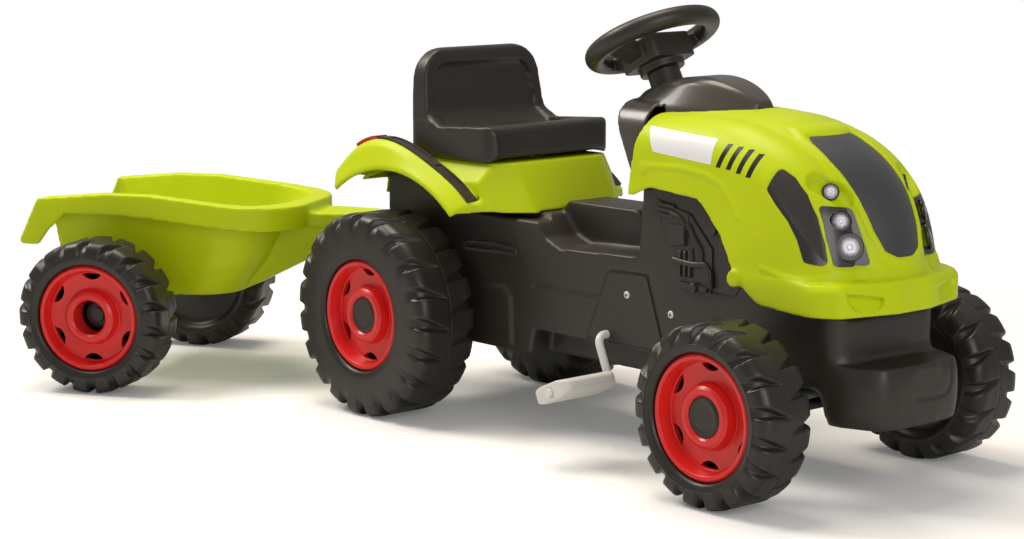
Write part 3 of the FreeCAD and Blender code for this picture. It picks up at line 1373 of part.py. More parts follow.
def build_tub():
    """The lime tub: bowl, rolled rim with its tails, drawbar tongue and axle saddles."""
    reach = 300.0
    rim_zone = Part.Face(tub_plan(TUB_HALF, TUB_FRONT, TUB_TAIL - 10, 150, 95)).extrude(V(0, 0, 150))
    rim_in = tub_plan(TUB_HALF - TUB_WALL, TUB_FRONT - TUB_WALL, TUB_TAIL - 20, 150, 92)
    rim_in = Part.Face(rim_in).extrude(V(0, 0, 150))
    band = side_prism(tub_rim_outline(0.0), -reach, reach, 6.0).common(rim_zone)
    lowered = [(x, z if z > 235 else z - 20) for x, z in tub_rim_outline(TUB_WALL)]
    under = side_prism(lowered, -reach, reach, 6.0)
    band = band.cut(under.common(rim_in))
    ceiling = side_prism([
        (TUB_TAIL - 20, 0), (TUB_TAIL - 20, 251), (TUB_REAR - 7, 251), (TUB_REAR + 90, 260),
        (TUB_REAR + 160, 260), (TUB_FRONT - 60, 247), (TUB_FRONT + 60, 245), (TUB_FRONT + 60, 0),
    ], -reach, reach, 6.0)
    bowl = tub_bowl(0.0).common(ceiling)
    tongue = plan_prism([
        (TUB_FRONT - 60, -42), (TUB_FRONT + 20, -40), (-10, -22), (20, -12), (20, 12), (-10, 22),
        (TUB_FRONT + 20, 40), (TUB_FRONT - 60, 42),
    ], TONGUE_BOTTOM, TONGUE_TOP, 10.0)
    brace = side_prism([
        (TUB_FRONT - 110, TUB_FLOOR + 4), (TUB_FRONT - 96, TUB_FLOOR + 4),
        (TUB_FRONT + 8, TUB_FLOOR + 56),
        (TUB_FRONT + 60, TONGUE_BOTTOM + 4), (TUB_FRONT - 40, TONGUE_BOTTOM + 4),
    ], -30, 30, 8.0)
    saddles = []
    for side in (-1, 1):
        y = side * (TUB_HALF - TUB_SKIRT - 54)
        saddles.append(side_prism([
            (TRAILER_AXLE_X - 18, TUB_FLOOR + 2), (TRAILER_AXLE_X - 12, FRONT_Z - 12),
            (TRAILER_AXLE_X + 12, FRONT_Z - 12), (TRAILER_AXLE_X + 18, TUB_FLOOR + 2),
        ], y - 9, y + 9, 4.0))
    body = band.fuse([bowl, tongue, brace] + saddles).cut(tub_bowl(TUB_WALL))
    gap = TUB_HALF - TUB_SKIRT - 14
    gate = box(TUB_TAIL - 30, TUB_REAR + 24, -gap, gap, 204, 300)
    behind = box(TUB_TAIL - 30, TUB_REAR - 0.5, -TUB_HALF + TUB_WALL, TUB_HALF - TUB_WALL, 100, 300)
    axle = across(TRAILER_AXLE_X, FRONT_Z, TRAILER_AXLE_RADIUS + SEAT_CLEARANCE, -200, 200)
    pin = cylinder(V(0, 0, 0), UP, HITCH_PIN_RADIUS + RUNNING_CLEARANCE, 300)
    return body.cut([gate, behind, axle, pin])


def build_trailer_axle():
    """A plain steel axle with a collar inside each wheel and a swaged cap outside."""
    half_track = TRAILER_TRACK / 2
    inner = half_track - FRONT_WHEEL_WIDTH / 2
    end = half_track + FRONT_WHEEL_WIDTH / 2 - HUB_DEPTH + 3 + SIDE_PLAY
    collar = across(0, 0, TRAILER_AXLE_RADIUS + 5, inner - 8, inner - SIDE_PLAY)
    half = stub(0, end, TRAILER_AXLE_RADIUS).fuse(collar)
    whole = half.fuse(mirrored(half)).removeSplitter()
    return moved(whole, TRAILER_AXLE_X, 0, FRONT_Z)


def hitched(shape):
    """Turns a piece of the trailer to its resting angle and carries it to the hitch pin."""
    copy = shape.copy()
    copy.rotate(ORIGIN, UP, HITCH_YAW)
    copy.translate(V(HITCH_X, 0, 0))
    return copy


def on_both_sides(shape, x, z, track):
    """A wheel piece set at both ends of an axle, as right and left."""
    left = moved(shape, x, track / 2, z)
    return mirrored(left), left


def build_all():
    nodes = {
        "chassis": build_chassis(),
        "belly_cover": build_belly_cover(),
        "chassis_screws": build_screws(),
        "cowl": build_cowl(),
        "column_sleeve": build_column_sleeve(),
        "front_axle": build_front_axle(),
        "kingpins": build_kingpins(),
        "axle_bushes": build_axle_bushes(),
        "drive_chain": build_chain(),
        "rear_deck": build_deck(),
        "tail_lamps": build_tail_lamps(),
        "hitch_bracket": build_hitch_bracket(),
        "hitch_pin": build_hitch_pin(),
        "bonnet_hinge_pin": build_hinge_pin(),
        "bonnet": build_bonnet(),
        "grille": build_grille(),
        "headlamp_lenses": build_lenses(),
        "steering_wheel": build_steering_wheel(),
        "horn_button": build_horn_button(),
        "steering_shaft": build_steering_shaft(),
        "tie_rod": build_tie_rod(),
        "rear_axle": build_rear_axle(),
        "rear_sprocket": build_rear_sprocket(),
        "crank": build_crank(),
        "crank_sprocket": build_crank_sprocket(),
        "seat": build_seat(),
        "seat_bolts": build_seat_bolts(),
        "trailer_tub": hitched(build_tub()),
        "trailer_axle": hitched(build_trailer_axle()),
    }
    for name, side in (("right", -1), ("left", 1)):
        nodes["crank_cover_" + name] = build_crank_cover(side)
        nodes["engine_panel_" + name] = build_engine_panel(side)
        nodes["fender_trim_" + name] = build_fender_trim(side)
        nodes["side_vent_" + name] = build_side_vent(side)
        nodes["lamp_panel_" + name] = build_lamp_panel(side)
        nodes["knuckle_" + name] = build_knuckle(side)
        nodes["pedal_" + name] = build_pedal(side)
    bore = AXLE_RADIUS + RUNNING_CLEARANCE
    front_tyre = tyre(FRONT_WHEEL_RADIUS, FRONT_WHEEL_WIDTH, FRONT_LUGS, bore)
    trailer_bore = TRAILER_AXLE_RADIUS + RUNNING_CLEARANCE
    trailer_tyre = tyre(FRONT_WHEEL_RADIUS, FRONT_WHEEL_WIDTH, FRONT_LUGS, trailer_bore)
    rear_tyre = tyre(REAR_WHEEL_RADIUS, REAR_WHEEL_WIDTH, REAR_LUGS, bore)
    front_set = {"tyre": front_tyre, "rim": rim(FRONT_WHEEL_WIDTH), "hub_cap": hub_cap(FRONT_WHEEL_WIDTH)}
    rear_set = {"tyre": rear_tyre, "rim": rim(REAR_WHEEL_WIDTH), "hub_cap": hub_cap(REAR_WHEEL_WIDTH)}
    trailer_set = {"tyre": trailer_tyre, "rim": front_set["rim"]}
    for piece, shape in front_set.items():
        pair = on_both_sides(shape, FRONT_X, FRONT_Z, FRONT_TRACK)
        nodes["front_" + piece + "_right"], nodes["front_" + piece + "_left"] = pair
    for piece, shape in rear_set.items():
        pair = on_both_sides(shape, 0, REAR_Z, REAR_TRACK)
        nodes["rear_" + piece + "_right"], nodes["rear_" + piece + "_left"] = pair
    for piece, shape in trailer_set.items():
        pair = on_both_sides(shape, TRAILER_AXLE_X, FRONT_Z, TRAILER_TRACK)
        nodes["trailer_" + piece + "_right"] = hitched(pair[0])
        nodes["trailer_" + piece + "_left"] = hitched(pair[1])
    return nodes


def main():
    nodes = build_all()
    reach = FreeCAD.BoundBox()
    for shape in nodes.values():
        reach.add(shape.BoundBox)
    shift = V(-round((reach.XMin + reach.XMax) / 2), -round((reach.YMin + reach.YMax) / 2), 0)
    print("shift to the footprint's middle", shift.x, shift.y)
    print("overall", round(reach.XLength, 1), round(reach.YLength, 1), round(reach.ZLength, 1))
    os.makedirs("parts", exist_ok=True)
    for name, shape in nodes.items():
        shape.translate(shift)
        shape.exportStep("parts/" + name + ".step")
        print(name, len(shape.Solids), "solids", shape.isValid(), round(shape.Volume / 1000, 1), "cm3")


main()
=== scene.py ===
# %% [markdown]
# # A child's pedal tractor and its trailer
#
# The tractor is put together from blow-moulded and injection-moulded plastic: a dark hollow chassis, glossy
# lime panels, red rim inserts in black wheels, and steel only where it turns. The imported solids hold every
# piece's place and size. This lesson gives each of them the soft corners, seams and finish that it has in
# the hand, and adds the small pieces that a mould or a sticker sheet adds.

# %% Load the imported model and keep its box
import json
import math
from contextlib import contextmanager

import bmesh
import bpy
import numpy as np
from mathutils import Matrix, Vector
from mathutils.bvhtree import BVHTree


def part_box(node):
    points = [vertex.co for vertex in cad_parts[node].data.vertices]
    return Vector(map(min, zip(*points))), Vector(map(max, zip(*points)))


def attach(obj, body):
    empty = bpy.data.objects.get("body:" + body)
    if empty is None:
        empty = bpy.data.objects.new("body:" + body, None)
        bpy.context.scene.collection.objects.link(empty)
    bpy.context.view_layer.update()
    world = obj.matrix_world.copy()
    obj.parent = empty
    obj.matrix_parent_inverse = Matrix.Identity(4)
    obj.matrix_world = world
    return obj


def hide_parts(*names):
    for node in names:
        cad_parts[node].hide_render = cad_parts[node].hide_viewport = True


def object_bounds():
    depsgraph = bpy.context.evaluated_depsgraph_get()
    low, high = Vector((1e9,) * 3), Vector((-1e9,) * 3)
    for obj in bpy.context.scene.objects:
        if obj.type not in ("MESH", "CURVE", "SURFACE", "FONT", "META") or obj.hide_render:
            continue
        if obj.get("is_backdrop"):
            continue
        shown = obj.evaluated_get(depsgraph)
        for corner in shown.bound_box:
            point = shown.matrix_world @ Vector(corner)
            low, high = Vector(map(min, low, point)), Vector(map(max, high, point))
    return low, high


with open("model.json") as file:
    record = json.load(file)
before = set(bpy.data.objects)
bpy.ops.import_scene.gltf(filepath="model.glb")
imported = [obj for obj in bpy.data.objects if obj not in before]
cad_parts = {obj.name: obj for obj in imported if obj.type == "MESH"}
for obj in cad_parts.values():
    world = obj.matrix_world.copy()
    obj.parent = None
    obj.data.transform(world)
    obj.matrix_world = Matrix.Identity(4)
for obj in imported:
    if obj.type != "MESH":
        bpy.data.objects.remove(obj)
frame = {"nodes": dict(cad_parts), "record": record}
cad_low, cad_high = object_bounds()
record = frame["record"]
body_of = {node: body for body, nodes in record["behaviour"]["bodies"].items() for node in nodes}
slot_of = {part["node"]: part["material_slot"] for part in record["subparts"]}
joint_at = {joint["name"]: joint for joint in record["behaviour"]["joints"]}
scene = bpy.context.scene
scene.view_settings.view_transform = "Standard"
print("box", [round(v, 3) for v in cad_high - cad_low], "nodes", len(frame["nodes"]))

# %% [markdown]
# The tractor's own drawing starts on the floor under the middle of the rear axle, and counts millimetres
# forward, to the driver's left and up. One small function turns such a place into the scene's metres, so
# every size below can be read as a maker would write it on a drawing.

# %% Places in the tractor's own millimetres
axle = Vector(joint_at["drive_spin"]["pos_m"])


def spot(x, y, z):
    return Vector((axle.x + x / 1000, axle.y + y / 1000, z / 1000))


print("rear axle over", [round(v, 3) for v in spot(0, 0, 0)])

# %% [markdown]
# The camera stands where the photographer stood: a long lens about three metres off, a little above the
# steering wheel, seen from the tractor's front right corner.

# %% Camera
CAMERA_AZIMUTH = math.radians(48.2146)
CAMERA_HEIGHT = math.radians(9.0954)
CAMERA_DISTANCE = 3.1338
CAMERA_AIM = (72.8, 0, 178.5)
CAMERA_LENS = 84.47
camera = bpy.data.objects.new("camera", bpy.data.cameras.new("camera"))
scene.collection.objects.link(camera)
toward = Vector((
    math.sin(CAMERA_AZIMUTH) * math.cos(CAMERA_HEIGHT),
    -math.cos(CAMERA_AZIMUTH) * math.cos(CAMERA_HEIGHT),
    math.sin(CAMERA_HEIGHT),
))
camera.location = spot(*CAMERA_AIM) + toward * CAMERA_DISTANCE
camera.rotation_euler = (-toward).to_track_quat("-Z", "Y").to_euler()
camera.data.sensor_width = 36.0
camera.data.lens = CAMERA_LENS
scene.camera = camera
print("camera at", [round(v, 3) for v in camera.location])

# %% [markdown]
# A finish is a small sum: a bit of noise here, a mask there. Written as nodes, a sum of four terms is a page
# of clicking. So one class wraps a node's output and lets Python's own operators add the Math nodes, and one
# method adds any other node. The same two classes serve the materials and the geometry trees.

# %% Node sums
class Reading:
    """A node's output that may stand in a sum. Each operator adds one Math node to its graph."""

    def __init__(self, graph, socket):
        self.graph = graph
        self.socket = socket

    def sum(self, operation, first, second=None):
        return self.graph.add("ShaderNodeMath", {"operation": operation}, {0: first, 1: second})

    def __add__(self, other):
        return self.sum("ADD", self, other)

    def __sub__(self, other):
        return self.sum("SUBTRACT", self, other)

    def __rsub__(self, other):
        return self.sum("SUBTRACT", other, self)

    def __mul__(self, other):
        return self.sum("MULTIPLY", self, other)

    def __truediv__(self, other):
        return self.sum("DIVIDE", self, other)

    def __abs__(self):
        return self.sum("ABSOLUTE", self)

    def fraction(self):
        return self.sum("FRACT", self)

    def ramp(self, low, high):
        """0 below low, 1 above high, and a smooth change between them."""
        return self.graph.add("ShaderNodeMapRange", {"interpolation_type": "SMOOTHSTEP"}, {
            "Value": self, "From Min": low, "From Max": high,
        })

    __radd__ = __add__
    __rmul__ = __mul__


class Graph:
    """Adds nodes to one tree. Settings come first, then the sockets, by name or number."""

    def __init__(self, tree):
        self.tree = tree

    def add(self, kind, settings=None, sockets=None, out=0):
        node = self.tree.nodes.new(kind)
        for name, value in (settings or {}).items():
            setattr(node, name, value)
        for key, value in (sockets or {}).items():
            if isinstance(value, Reading):
                self.tree.links.new(value.socket, node.inputs[key])
            elif value is not None:
                node.inputs[key].default_value = value
        return Reading(self, node.outputs[out])

    def blend(self, share, first, second):
        """A colour between two, through a Mix node."""
        return self.add("ShaderNodeMix", {"data_type": "RGBA"}, {0: share, 6: first, 7: second}, out=2)

    def part(self, place, way):
        """A place's X, Y or Z."""
        return self.add("ShaderNodeSeparateXYZ", {}, {0: place}, out=way)

    def noise(self, place, scale, detail=2.0):
        return self.add("ShaderNodeTexNoise", {}, {"Vector": place, "Scale": scale, "Detail": detail})


print("node sums ready")

# %% [markdown]
# Colours are written as a paint chart gives them, in sRGB, and turned into the linear values that a shader
# wants. Every finish is a Principled shader whose even values sit on its own sockets, while what changes
# over the surface is fed in: a slow drift of colour from the mould's flow, a patchy gloss from handling, and
# a fine grain as a bump.

# %% Helpers for finishes
def paint(red, green, blue):
    values = []
    for channel in (red, green, blue):
        c = channel / 255
        values.append(c / 12.92 if c <= 0.04045 else ((c + 0.055) / 1.055) ** 2.4)
    return (*values, 1.0)


def shaded(colour, share):
    return (colour[0] * share, colour[1] * share, colour[2] * share, 1.0)


def blank_finish(name, **even):
    material = bpy.data.materials.new(name)
    material.use_nodes = True
    shader = material.node_tree.nodes["Principled BSDF"]
    for socket, value in even.items():
        shader.inputs[socket.replace("_", " ")].default_value = value
    graph = Graph(material.node_tree)
    place = graph.add("ShaderNodeTexCoord", out="Object")
    return material, graph, shader, place


def feed(graph, shader, **readings):
    for socket, reading in readings.items():
        graph.tree.links.new(reading.socket, shader.inputs[socket.replace("_", " ")])


def grained(graph, height, strength, depth):
    return graph.add("ShaderNodeBump", {}, {"Strength": strength, "Distance": depth, "Height": height})


finishes = {}
print("finish helpers ready")

# %% [markdown]
# ## Moulded plastics
# All the plastic here comes from polished or lightly textured moulds. The lime panels are glossy with a
# faint ripple. The dark chassis has a fine spark-eroded grain that keeps fingerprints from showing. The
# wheels are smoother than the chassis but not glossy, and the red inserts are almost as glossy as the panels.
# One function makes them all, so that they stay a family.

# %% Plastic finishes
def plastic(name, colour, drift, gloss, gloss_change, grain_scale, grain, coat=0.0, dust=0.0, shine=0.5):
    even = {"Coat_Roughness": 0.12, "Coat_IOR": 1.45, "Coat_Weight": coat, "Specular_IOR_Level": shine}
    material, graph, shader, place = blank_finish(name, **even)
    flow = graph.noise(place, 9.0, 3.0)
    handled = graph.noise(place, 55.0, 5.0)
    base = graph.blend(flow.ramp(0.3, 0.7), shaded(colour, 1 - drift), shaded(colour, 1 + drift))
    if dust:
        lying = graph.part(graph.add("ShaderNodeNewGeometry", out="Normal"), "Z")
        share = lying.ramp(0.35, 0.95) * handled.ramp(0.35, 0.75) * dust
        base = graph.blend(share, base, paint(176, 170, 158))
    texture = graph.noise(place, grain_scale, 3.0)
    feed(graph, shader, Base_Color=base, Roughness=gloss + (handled - 0.5) * gloss_change,
         Normal=grained(graph, texture, grain, 0.0004))
    return material


LIME = paint(197, 214, 14)
DARK = paint(48, 42, 36)
BLACK = paint(40, 36, 31)
RED = paint(222, 38, 34)
CREAM = paint(222, 219, 211)
finishes["lime_plastic"] = plastic("lime_panel", LIME, 0.03, 0.40, 0.10, 260.0, 0.04, shine=0.22)
finishes["dark_plastic"] = plastic("dark_chassis", DARK, 0.06, 0.40, 0.14, 1500.0, 0.2, dust=0.02)
finishes["tyre_plastic"] = plastic("wheel_black", BLACK, 0.06, 0.36, 0.12, 1100.0, 0.12, dust=0.02)
finishes["red_plastic"] = plastic("rim_red", RED, 0.04, 0.32, 0.10, 420.0, 0.05, coat=0.1)
finishes["white_plastic"] = plastic("pedal_white", CREAM, 0.02, 0.4, 0.12, 900.0, 0.15, dust=0.12)
finishes["red_lens"] = plastic("lamp_red", paint(190, 30, 26), 0.05, 0.2, 0.06, 300.0, 0.04, coat=0.4)
print("plastics:", sorted(finishes))

# %% [markdown]
# ## Steel, lamps and the dark inserts
# The crank and the screws are steel with a white coat. Axles, sprockets and pins are zinc plated and slightly
# brushed: a noise stretched along the bar, read as roughness and a very fine bump. The grille and the vents
# are dark plastic. The grille carries a fine upright ribbing, shown by a bump, by painted shade in the
# grooves and by a painted highlight on the rib tops. Each vent has one slanting fold: a bump, with painted
# light on one side of it and painted shade on the other.

# %% Steel and insert finishes
def brushed(name, colour, roughness, stretch):
    material, graph, shader, place = blank_finish(name, Metallic=1.0)
    along = graph.add("ShaderNodeMapping", {}, {"Vector": place, "Scale": stretch})
    lines = graph.noise(along, 60.0, 4.0)
    blotch = graph.noise(place, 35.0, 3.0)
    base = graph.blend(blotch.ramp(0.3, 0.7), shaded(colour, 0.86), colour)
    feed(graph, shader, Base_Color=base, Roughness=roughness + lines * 0.18,
         Normal=grained(graph, lines, 0.08, 0.0003))
    return material


def coated_steel(name, colour):
    material, graph, shader, place = blank_finish(name, Coat_Weight=0.3, Coat_Roughness=0.15)
    runs = graph.noise(place, 120.0, 4.0)
    scuffs = graph.noise(place, 40.0, 6.0)
    base = graph.blend(scuffs.ramp(0.66, 0.74) * 0.5, colour, paint(150, 146, 140))
    feed(graph, shader, Base_Color=base, Roughness=0.28 + runs * 0.16,
         Normal=grained(graph, runs, 0.06, 0.0004))
    return material


def ribbed_insert_painted_shade(name, colour, rib_pitch, strength):
    material, graph, shader, place = blank_finish(name, Coat_Weight=0.35, Coat_Roughness=0.1)
    ribs = abs((graph.part(place, "Y") / rib_pitch).fraction() - 0.5).ramp(0.1, 0.4)
    cloud = graph.noise(place, 30.0, 3.0)
    # Painted shade and highlight: the grooves between the ribs are darkened to 0.72 of the colour, and the
    # rib tops are lightened to 1.15.
    base = graph.blend(ribs, shaded(colour, 0.72), shaded(colour, 1.15))
    feed(graph, shader, Base_Color=base, Roughness=0.34 + cloud * 0.12,
         Normal=grained(graph, ribs, strength, 0.0006))
    return material


def fold_painted_light_and_shade(name, colour, start, finish, slope):
    """Dark plastic with one slanting fold: the height of a shallow ridge along a line on the flank as a bump,
    with painted light on one side of the line and painted shade on the other.
    """
    material, graph, shader, place = blank_finish(name, Coat_Weight=0.3, Coat_Roughness=0.1)
    x, z = graph.part(place, "X"), graph.part(place, "Z")
    a, b = spot(start[0], 0, start[1]), spot(finish[0], 0, finish[1])
    along = Vector((b.x - a.x, b.z - a.z)).normalized()
    apart = (x - a.x) * along.y - (z - a.z) * along.x
    cloud = graph.noise(place, 40.0, 3.0)
    # Painted light and shade: the colour is 1.25 times as bright on one side of the fold's line and 0.85
    # times on the other.
    base = graph.blend(apart.ramp(-0.001, 0.001), shaded(colour, 1.25), shaded(colour, 0.85))
    feed(graph, shader, Base_Color=base, Roughness=0.26 + cloud * 0.1,
         Normal=grained(graph, abs(apart), 1.0, slope))
    return material


def clear_cover(name):
    material, graph, shader, place = blank_finish(name, IOR=1.45, Transmission_Weight=1.0)
    ripple = graph.noise(place, 500.0, 1.0)
    feed(graph, shader, Base_Color=graph.blend(ripple, paint(244, 246, 248), paint(252, 253, 255)),
         Roughness=0.04 + ripple * 0.05)
    return material


finishes["steel"] = brushed("zinc_steel", paint(176, 178, 180), 0.26, (1.0, 0.06, 1.0))
finishes["white_steel"] = coated_steel("white_coat", paint(226, 225, 221))
finishes["grille_plastic"] = ribbed_insert_painted_shade("grille_insert", paint(62, 63, 66), 0.0026, 0.35)
finishes["lens"] = clear_cover("lamp_cover")
# The cowl's colour is set lighter than the chassis plastic, as a painted reflection of the white backdrop on
# its hump. Its gloss and coat are its own.
cowl_painted_reflection = plastic("cowl_gloss_painted_reflection", paint(74, 68, 63), 0.04, 0.3, 0.08, 700.0, 0.05, coat=0.25)
vent_fold_painted_light = fold_painted_light_and_shade("vent_dark", paint(48, 45, 44), (640, 322), (682, 276), 0.25)
panel_finish = plastic("lamp_panel", paint(62, 57, 58), 0.05, 0.3, 0.08, 600.0, 0.05, coat=0.25)
reflector = brushed("lamp_reflector", paint(196, 192, 196), 0.3, (1.0, 1.0, 1.0))
bezel = plastic("lamp_bezel", paint(28, 27, 27), 0.04, 0.25, 0.06, 500.0, 0.04)
sticker_white = plastic("sticker_white", paint(240, 240, 238), 0.01, 0.35, 0.06, 300.0, 0.02)
sticker_black = plastic("sticker_black", paint(22, 21, 20), 0.03, 0.35, 0.06, 300.0, 0.02)
print("finishes:", len(bpy.data.materials))

# %% [markdown]
# ## From solids to mouldings
# A drawn solid has knife edges, and a moulding never does: the tool is polished, and plastic shrinks as it
# cools. Bevelling a triangulated solid edge by edge breaks easily. Two other ways are used. A large moulding
# is remeshed into small even cells and then eased a few times, which rounds every edge by about the same
# radius, as a blown part has it. A turned or thin piece keeps its own faces and only gets smooth shading,
# broken where two faces meet at a real corner.

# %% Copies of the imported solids
def shown(name, mesh):
    piece = bpy.data.objects.new(name, mesh)
    scene.collection.objects.link(piece)
    return piece


@contextmanager
def opened(mesh):
    """Opens a mesh for changes, and writes them back at the end."""
    work = bmesh.new()
    work.from_mesh(mesh)
    yield work
    work.to_mesh(mesh)
    work.free()


def copied(node):
    """A copy of a node's triangles with their shared corners merged."""
    work = bmesh.new()
    work.from_mesh(frame["nodes"][node].data)
    bmesh.ops.remove_doubles(work, verts=work.verts, dist=2e-5)
    mesh = bpy.data.meshes.new(node + "_skin")
    work.to_mesh(mesh)
    work.free()
    if "custom_normal" in mesh.attributes:
        mesh.attributes.remove(mesh.attributes["custom_normal"])
    mesh.materials.clear()
    return shown(node + "_skin", mesh)


def settled(piece):
    """Works a piece's modifiers into a plain mesh."""
    scene.view_layers.update()
    graph = bpy.context.evaluated_depsgraph_get()
    ready = piece.evaluated_get(graph)
    mesh = bpy.data.meshes.new_from_object(ready, preserve_all_data_layers=True, depsgraph=graph)
    old = piece.data
    piece.modifiers.clear()
    piece.data = mesh
    bpy.data.meshes.remove(old)
    return piece


def add_wedge(piece, places):
    """Adds the convex wedge round some places to a piece, for the remesh to melt in."""
    with opened(piece.data) as work:
        corners = [work.verts.new(spot(*place)) for place in places]
        bmesh.ops.convex_hull(work, input=corners)


def add_backing(piece, node, way):
    """Adds a node's solid, moved some millimetres, to a piece, for the remesh to melt in."""
    with opened(piece.data) as work:
        own = len(work.verts)
        work.from_mesh(frame["nodes"][node].data)
        work.verts.ensure_lookup_table()
        bmesh.ops.translate(work, verts=work.verts[own:], vec=Vector(way) / 1000)


def eased(node, cell, passes, wedges=(), backings=()):
    """A moulding: the node remeshed into cells of that many millimetres, with its edges eased."""
    piece = copied(node)
    for places in wedges:
        add_wedge(piece, places)
    for insert, way in backings:
        add_backing(piece, insert, way)
    remesh = piece.modifiers.new("even cells", "REMESH")
    remesh.mode = "VOXEL"
    remesh.voxel_size = cell / 1000
    remesh.use_smooth_shade = True
    ease = piece.modifiers.new("eased edges", "SMOOTH")
    ease.factor = 0.5
    ease.iterations = passes
    return settled(piece)


def crisp(node, corner=32.0):
    """A piece with its own faces, shaded smooth up to a corner of that many degrees."""
    piece = copied(node)
    piece.data.shade_smooth()
    piece.data.set_sharp_from_angle(angle=math.radians(corner))
    flat = piece.modifiers.new("flat faces", "WEIGHTED_NORMAL")
    flat.keep_sharp = True
    return settled(piece)


def rides(piece, node, finish):
    """Gives a piece a finish, and lets it go with a node's body."""
    piece.data.materials.clear()
    piece.data.materials.append(finish)
    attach(piece, body_of[node])
    return piece


def stands_for(piece, node, finish=None):
    """Shows a piece in a node's stead, with the node's own finish unless another is given."""
    rides(piece, node, finish or finishes[slot_of[node]])
    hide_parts(node)
    return piece


for node, solid in frame["nodes"].items():
    solid.data.materials.clear()
    solid.data.materials.append(finishes[slot_of[node]])
print("nodes with a finish:", len(frame["nodes"]))

# %% [markdown]
# Some places need more than an even easing: a big radius, a groove or a sunk panel. Each is a share for every
# point of the skin, worked out from its distance to a line or from its place inside an outline. A share can
# weight a further easing, or it can move the points along their normals, as a tool presses a soft sheet.

# %% Helpers that work a skin
def skin_points(piece):
    mesh = piece.data
    places = np.zeros(len(mesh.vertices) * 3)
    normals = np.zeros(len(mesh.vertices) * 3)
    mesh.vertices.foreach_get("co", places)
    mesh.vertex_normals.foreach_get("vector", normals)
    return places.reshape(-1, 3), normals.reshape(-1, 3)


def own_millimetres(places):
    """Scene places in the tractor's own millimetres."""
    return (places - np.array([axle.x, axle.y, 0.0])) * 1000


def from_line(points, line):
    """Each point's distance to a run of straight pieces."""
    best = np.full(len(points), 1e9)
    for start, finish in zip(line[:-1], line[1:]):
        a, b = np.array(start, float), np.array(finish, float)
        share = np.clip(((points - a) @ (b - a)) / ((b - a) @ (b - a)), 0, 1)
        best = np.minimum(best, np.linalg.norm(points - a - share[:, None] * (b - a), axis=1))
    return best


def falloff(distance, near, far):
    share = np.clip((far - distance) / (far - near), 0, 1)
    return share * share * (3 - 2 * share)


def press(piece, depths):
    """Moves a skin's points along their normals by depths in millimetres."""
    places, normals = skin_points(piece)
    places = places + normals * (depths / 1000)[:, None]
    piece.data.vertices.foreach_set("co", places.reshape(-1))
    piece.data.update()


def push(piece, shares, way):
    """Moves both faces of a wall by a share of one way in millimetres, mirrored on the left half."""
    places = skin_points(piece)[0]
    hand = np.where(places[:, 1] > axle.y, -1.0, 1.0)
    moves = np.outer(shares, np.array(way) / 1000)
    moves[:, 1] *= hand
    piece.data.vertices.foreach_set("co", (places + moves).reshape(-1))
    piece.data.update()


def inside(points, outline, soft):
    """1 well inside a flat outline, 0 outside it, and a smooth change of that width at its edge."""
    corners = np.array(outline, float)
    within = np.zeros(len(points), bool)
    for (ax, ay), (bx, by) in zip(corners, np.roll(corners, -1, axis=0)):
        crossed = (ay > points[:, 1]) != (by > points[:, 1])
        rise = by - ay if by != ay else 1e-9
        within ^= crossed & (points[:, 0] < ax + (points[:, 1] - ay) * (bx - ax) / rise)
    edge = from_line(points, list(corners) + [corners[0]])
    return np.where(within, 1 - falloff(edge, 0.0, soft), 0.0)


def softened(piece, shares, passes, ways="xyz"):
    """Eases a skin further by its points' shares, along the named ways only."""
    group = piece.vertex_groups.new(name="softened")
    for index in np.flatnonzero(shares > 0.02):
        group.add([int(index)], float(shares[index]), "REPLACE")
    ease = piece.modifiers.new("softened", "SMOOTH")
    ease.factor = 0.5
    ease.iterations = passes
    ease.vertex_group = group.name
    ease.use_x, ease.use_y, ease.use_z = [way in ways for way in "xyz"]
    settled(piece)
    piece.vertex_groups.clear()


print("skin helpers ready")

# %% [markdown]
# ## The mouldings
# Cell size and number of passes set how round the edges get. The blown pieces, such as the chassis, the tub
# and the seat, are the softest. The bonnet's edges are crisper, because its inserts have to sit flush. At the
# front end of each fender one wedge fills the corner to the deck's skirt, so the two run into each other, and
# another closes the hollow beside the trim's end. Behind each of the bonnet's inserts the wall is thin, so a
# copy of the insert thickens it from within.

# %% Large mouldings
FENDER_END = [(140.6, 134, 285), (140.6, 116, 285), (132, 141, 275.7), (132, 108, 276), (128, 150, 268.5),
              (124, 146, 271), (160, 110, 271), (150, 104, 284)]
UNDER_PANEL = [(110, 116, 301), (122, 116, 294), (134, 116, 285), (138, 116, 292), (138, 116, 300),
               (110, 116, 304), (110, 108, 299), (122, 108, 291), (134, 108, 283), (138, 108, 300),
               (110, 108, 310)]
SIDES = ((-1, "right"), (1, "left"))
softness = {
    "chassis": (2.6, 7), "bonnet": (1.9, 3), "rear_deck": (1.9, 9), "trailer_tub": (2.2, 8),
    "seat": (2.0, 14), "cowl": (1.7, 5), "steering_wheel": (1.4, 5), "pedal_right": (1.3, 6),
    "pedal_left": (1.3, 6),
}
wedges = {"rear_deck": []}
for fill in (FENDER_END, UNDER_PANEL):
    for side, _ in SIDES:
        wedges["rear_deck"].append([(x, side * y, z) for x, y, z in fill])
backings = {"bonnet": [("grille", (-3.0, 0, -1.0)), ("headlamp_lenses", (-4.0, 0, -1.0))]}
for side, word in SIDES:
    backings["bonnet"].append(("side_vent_" + word, (-1.0, -side * 3.0, 0)))
    backings["bonnet"].append(("lamp_panel_" + word, (-2.4, -side * 1.8, -0.8)))
mouldings = {}
for node, (cell, passes) in softness.items():
    mouldings[node] = eased(node, cell, passes, wedges.get(node, ()), backings.get(node, ()))
    print(node, len(mouldings[node].data.polygons), "cells")

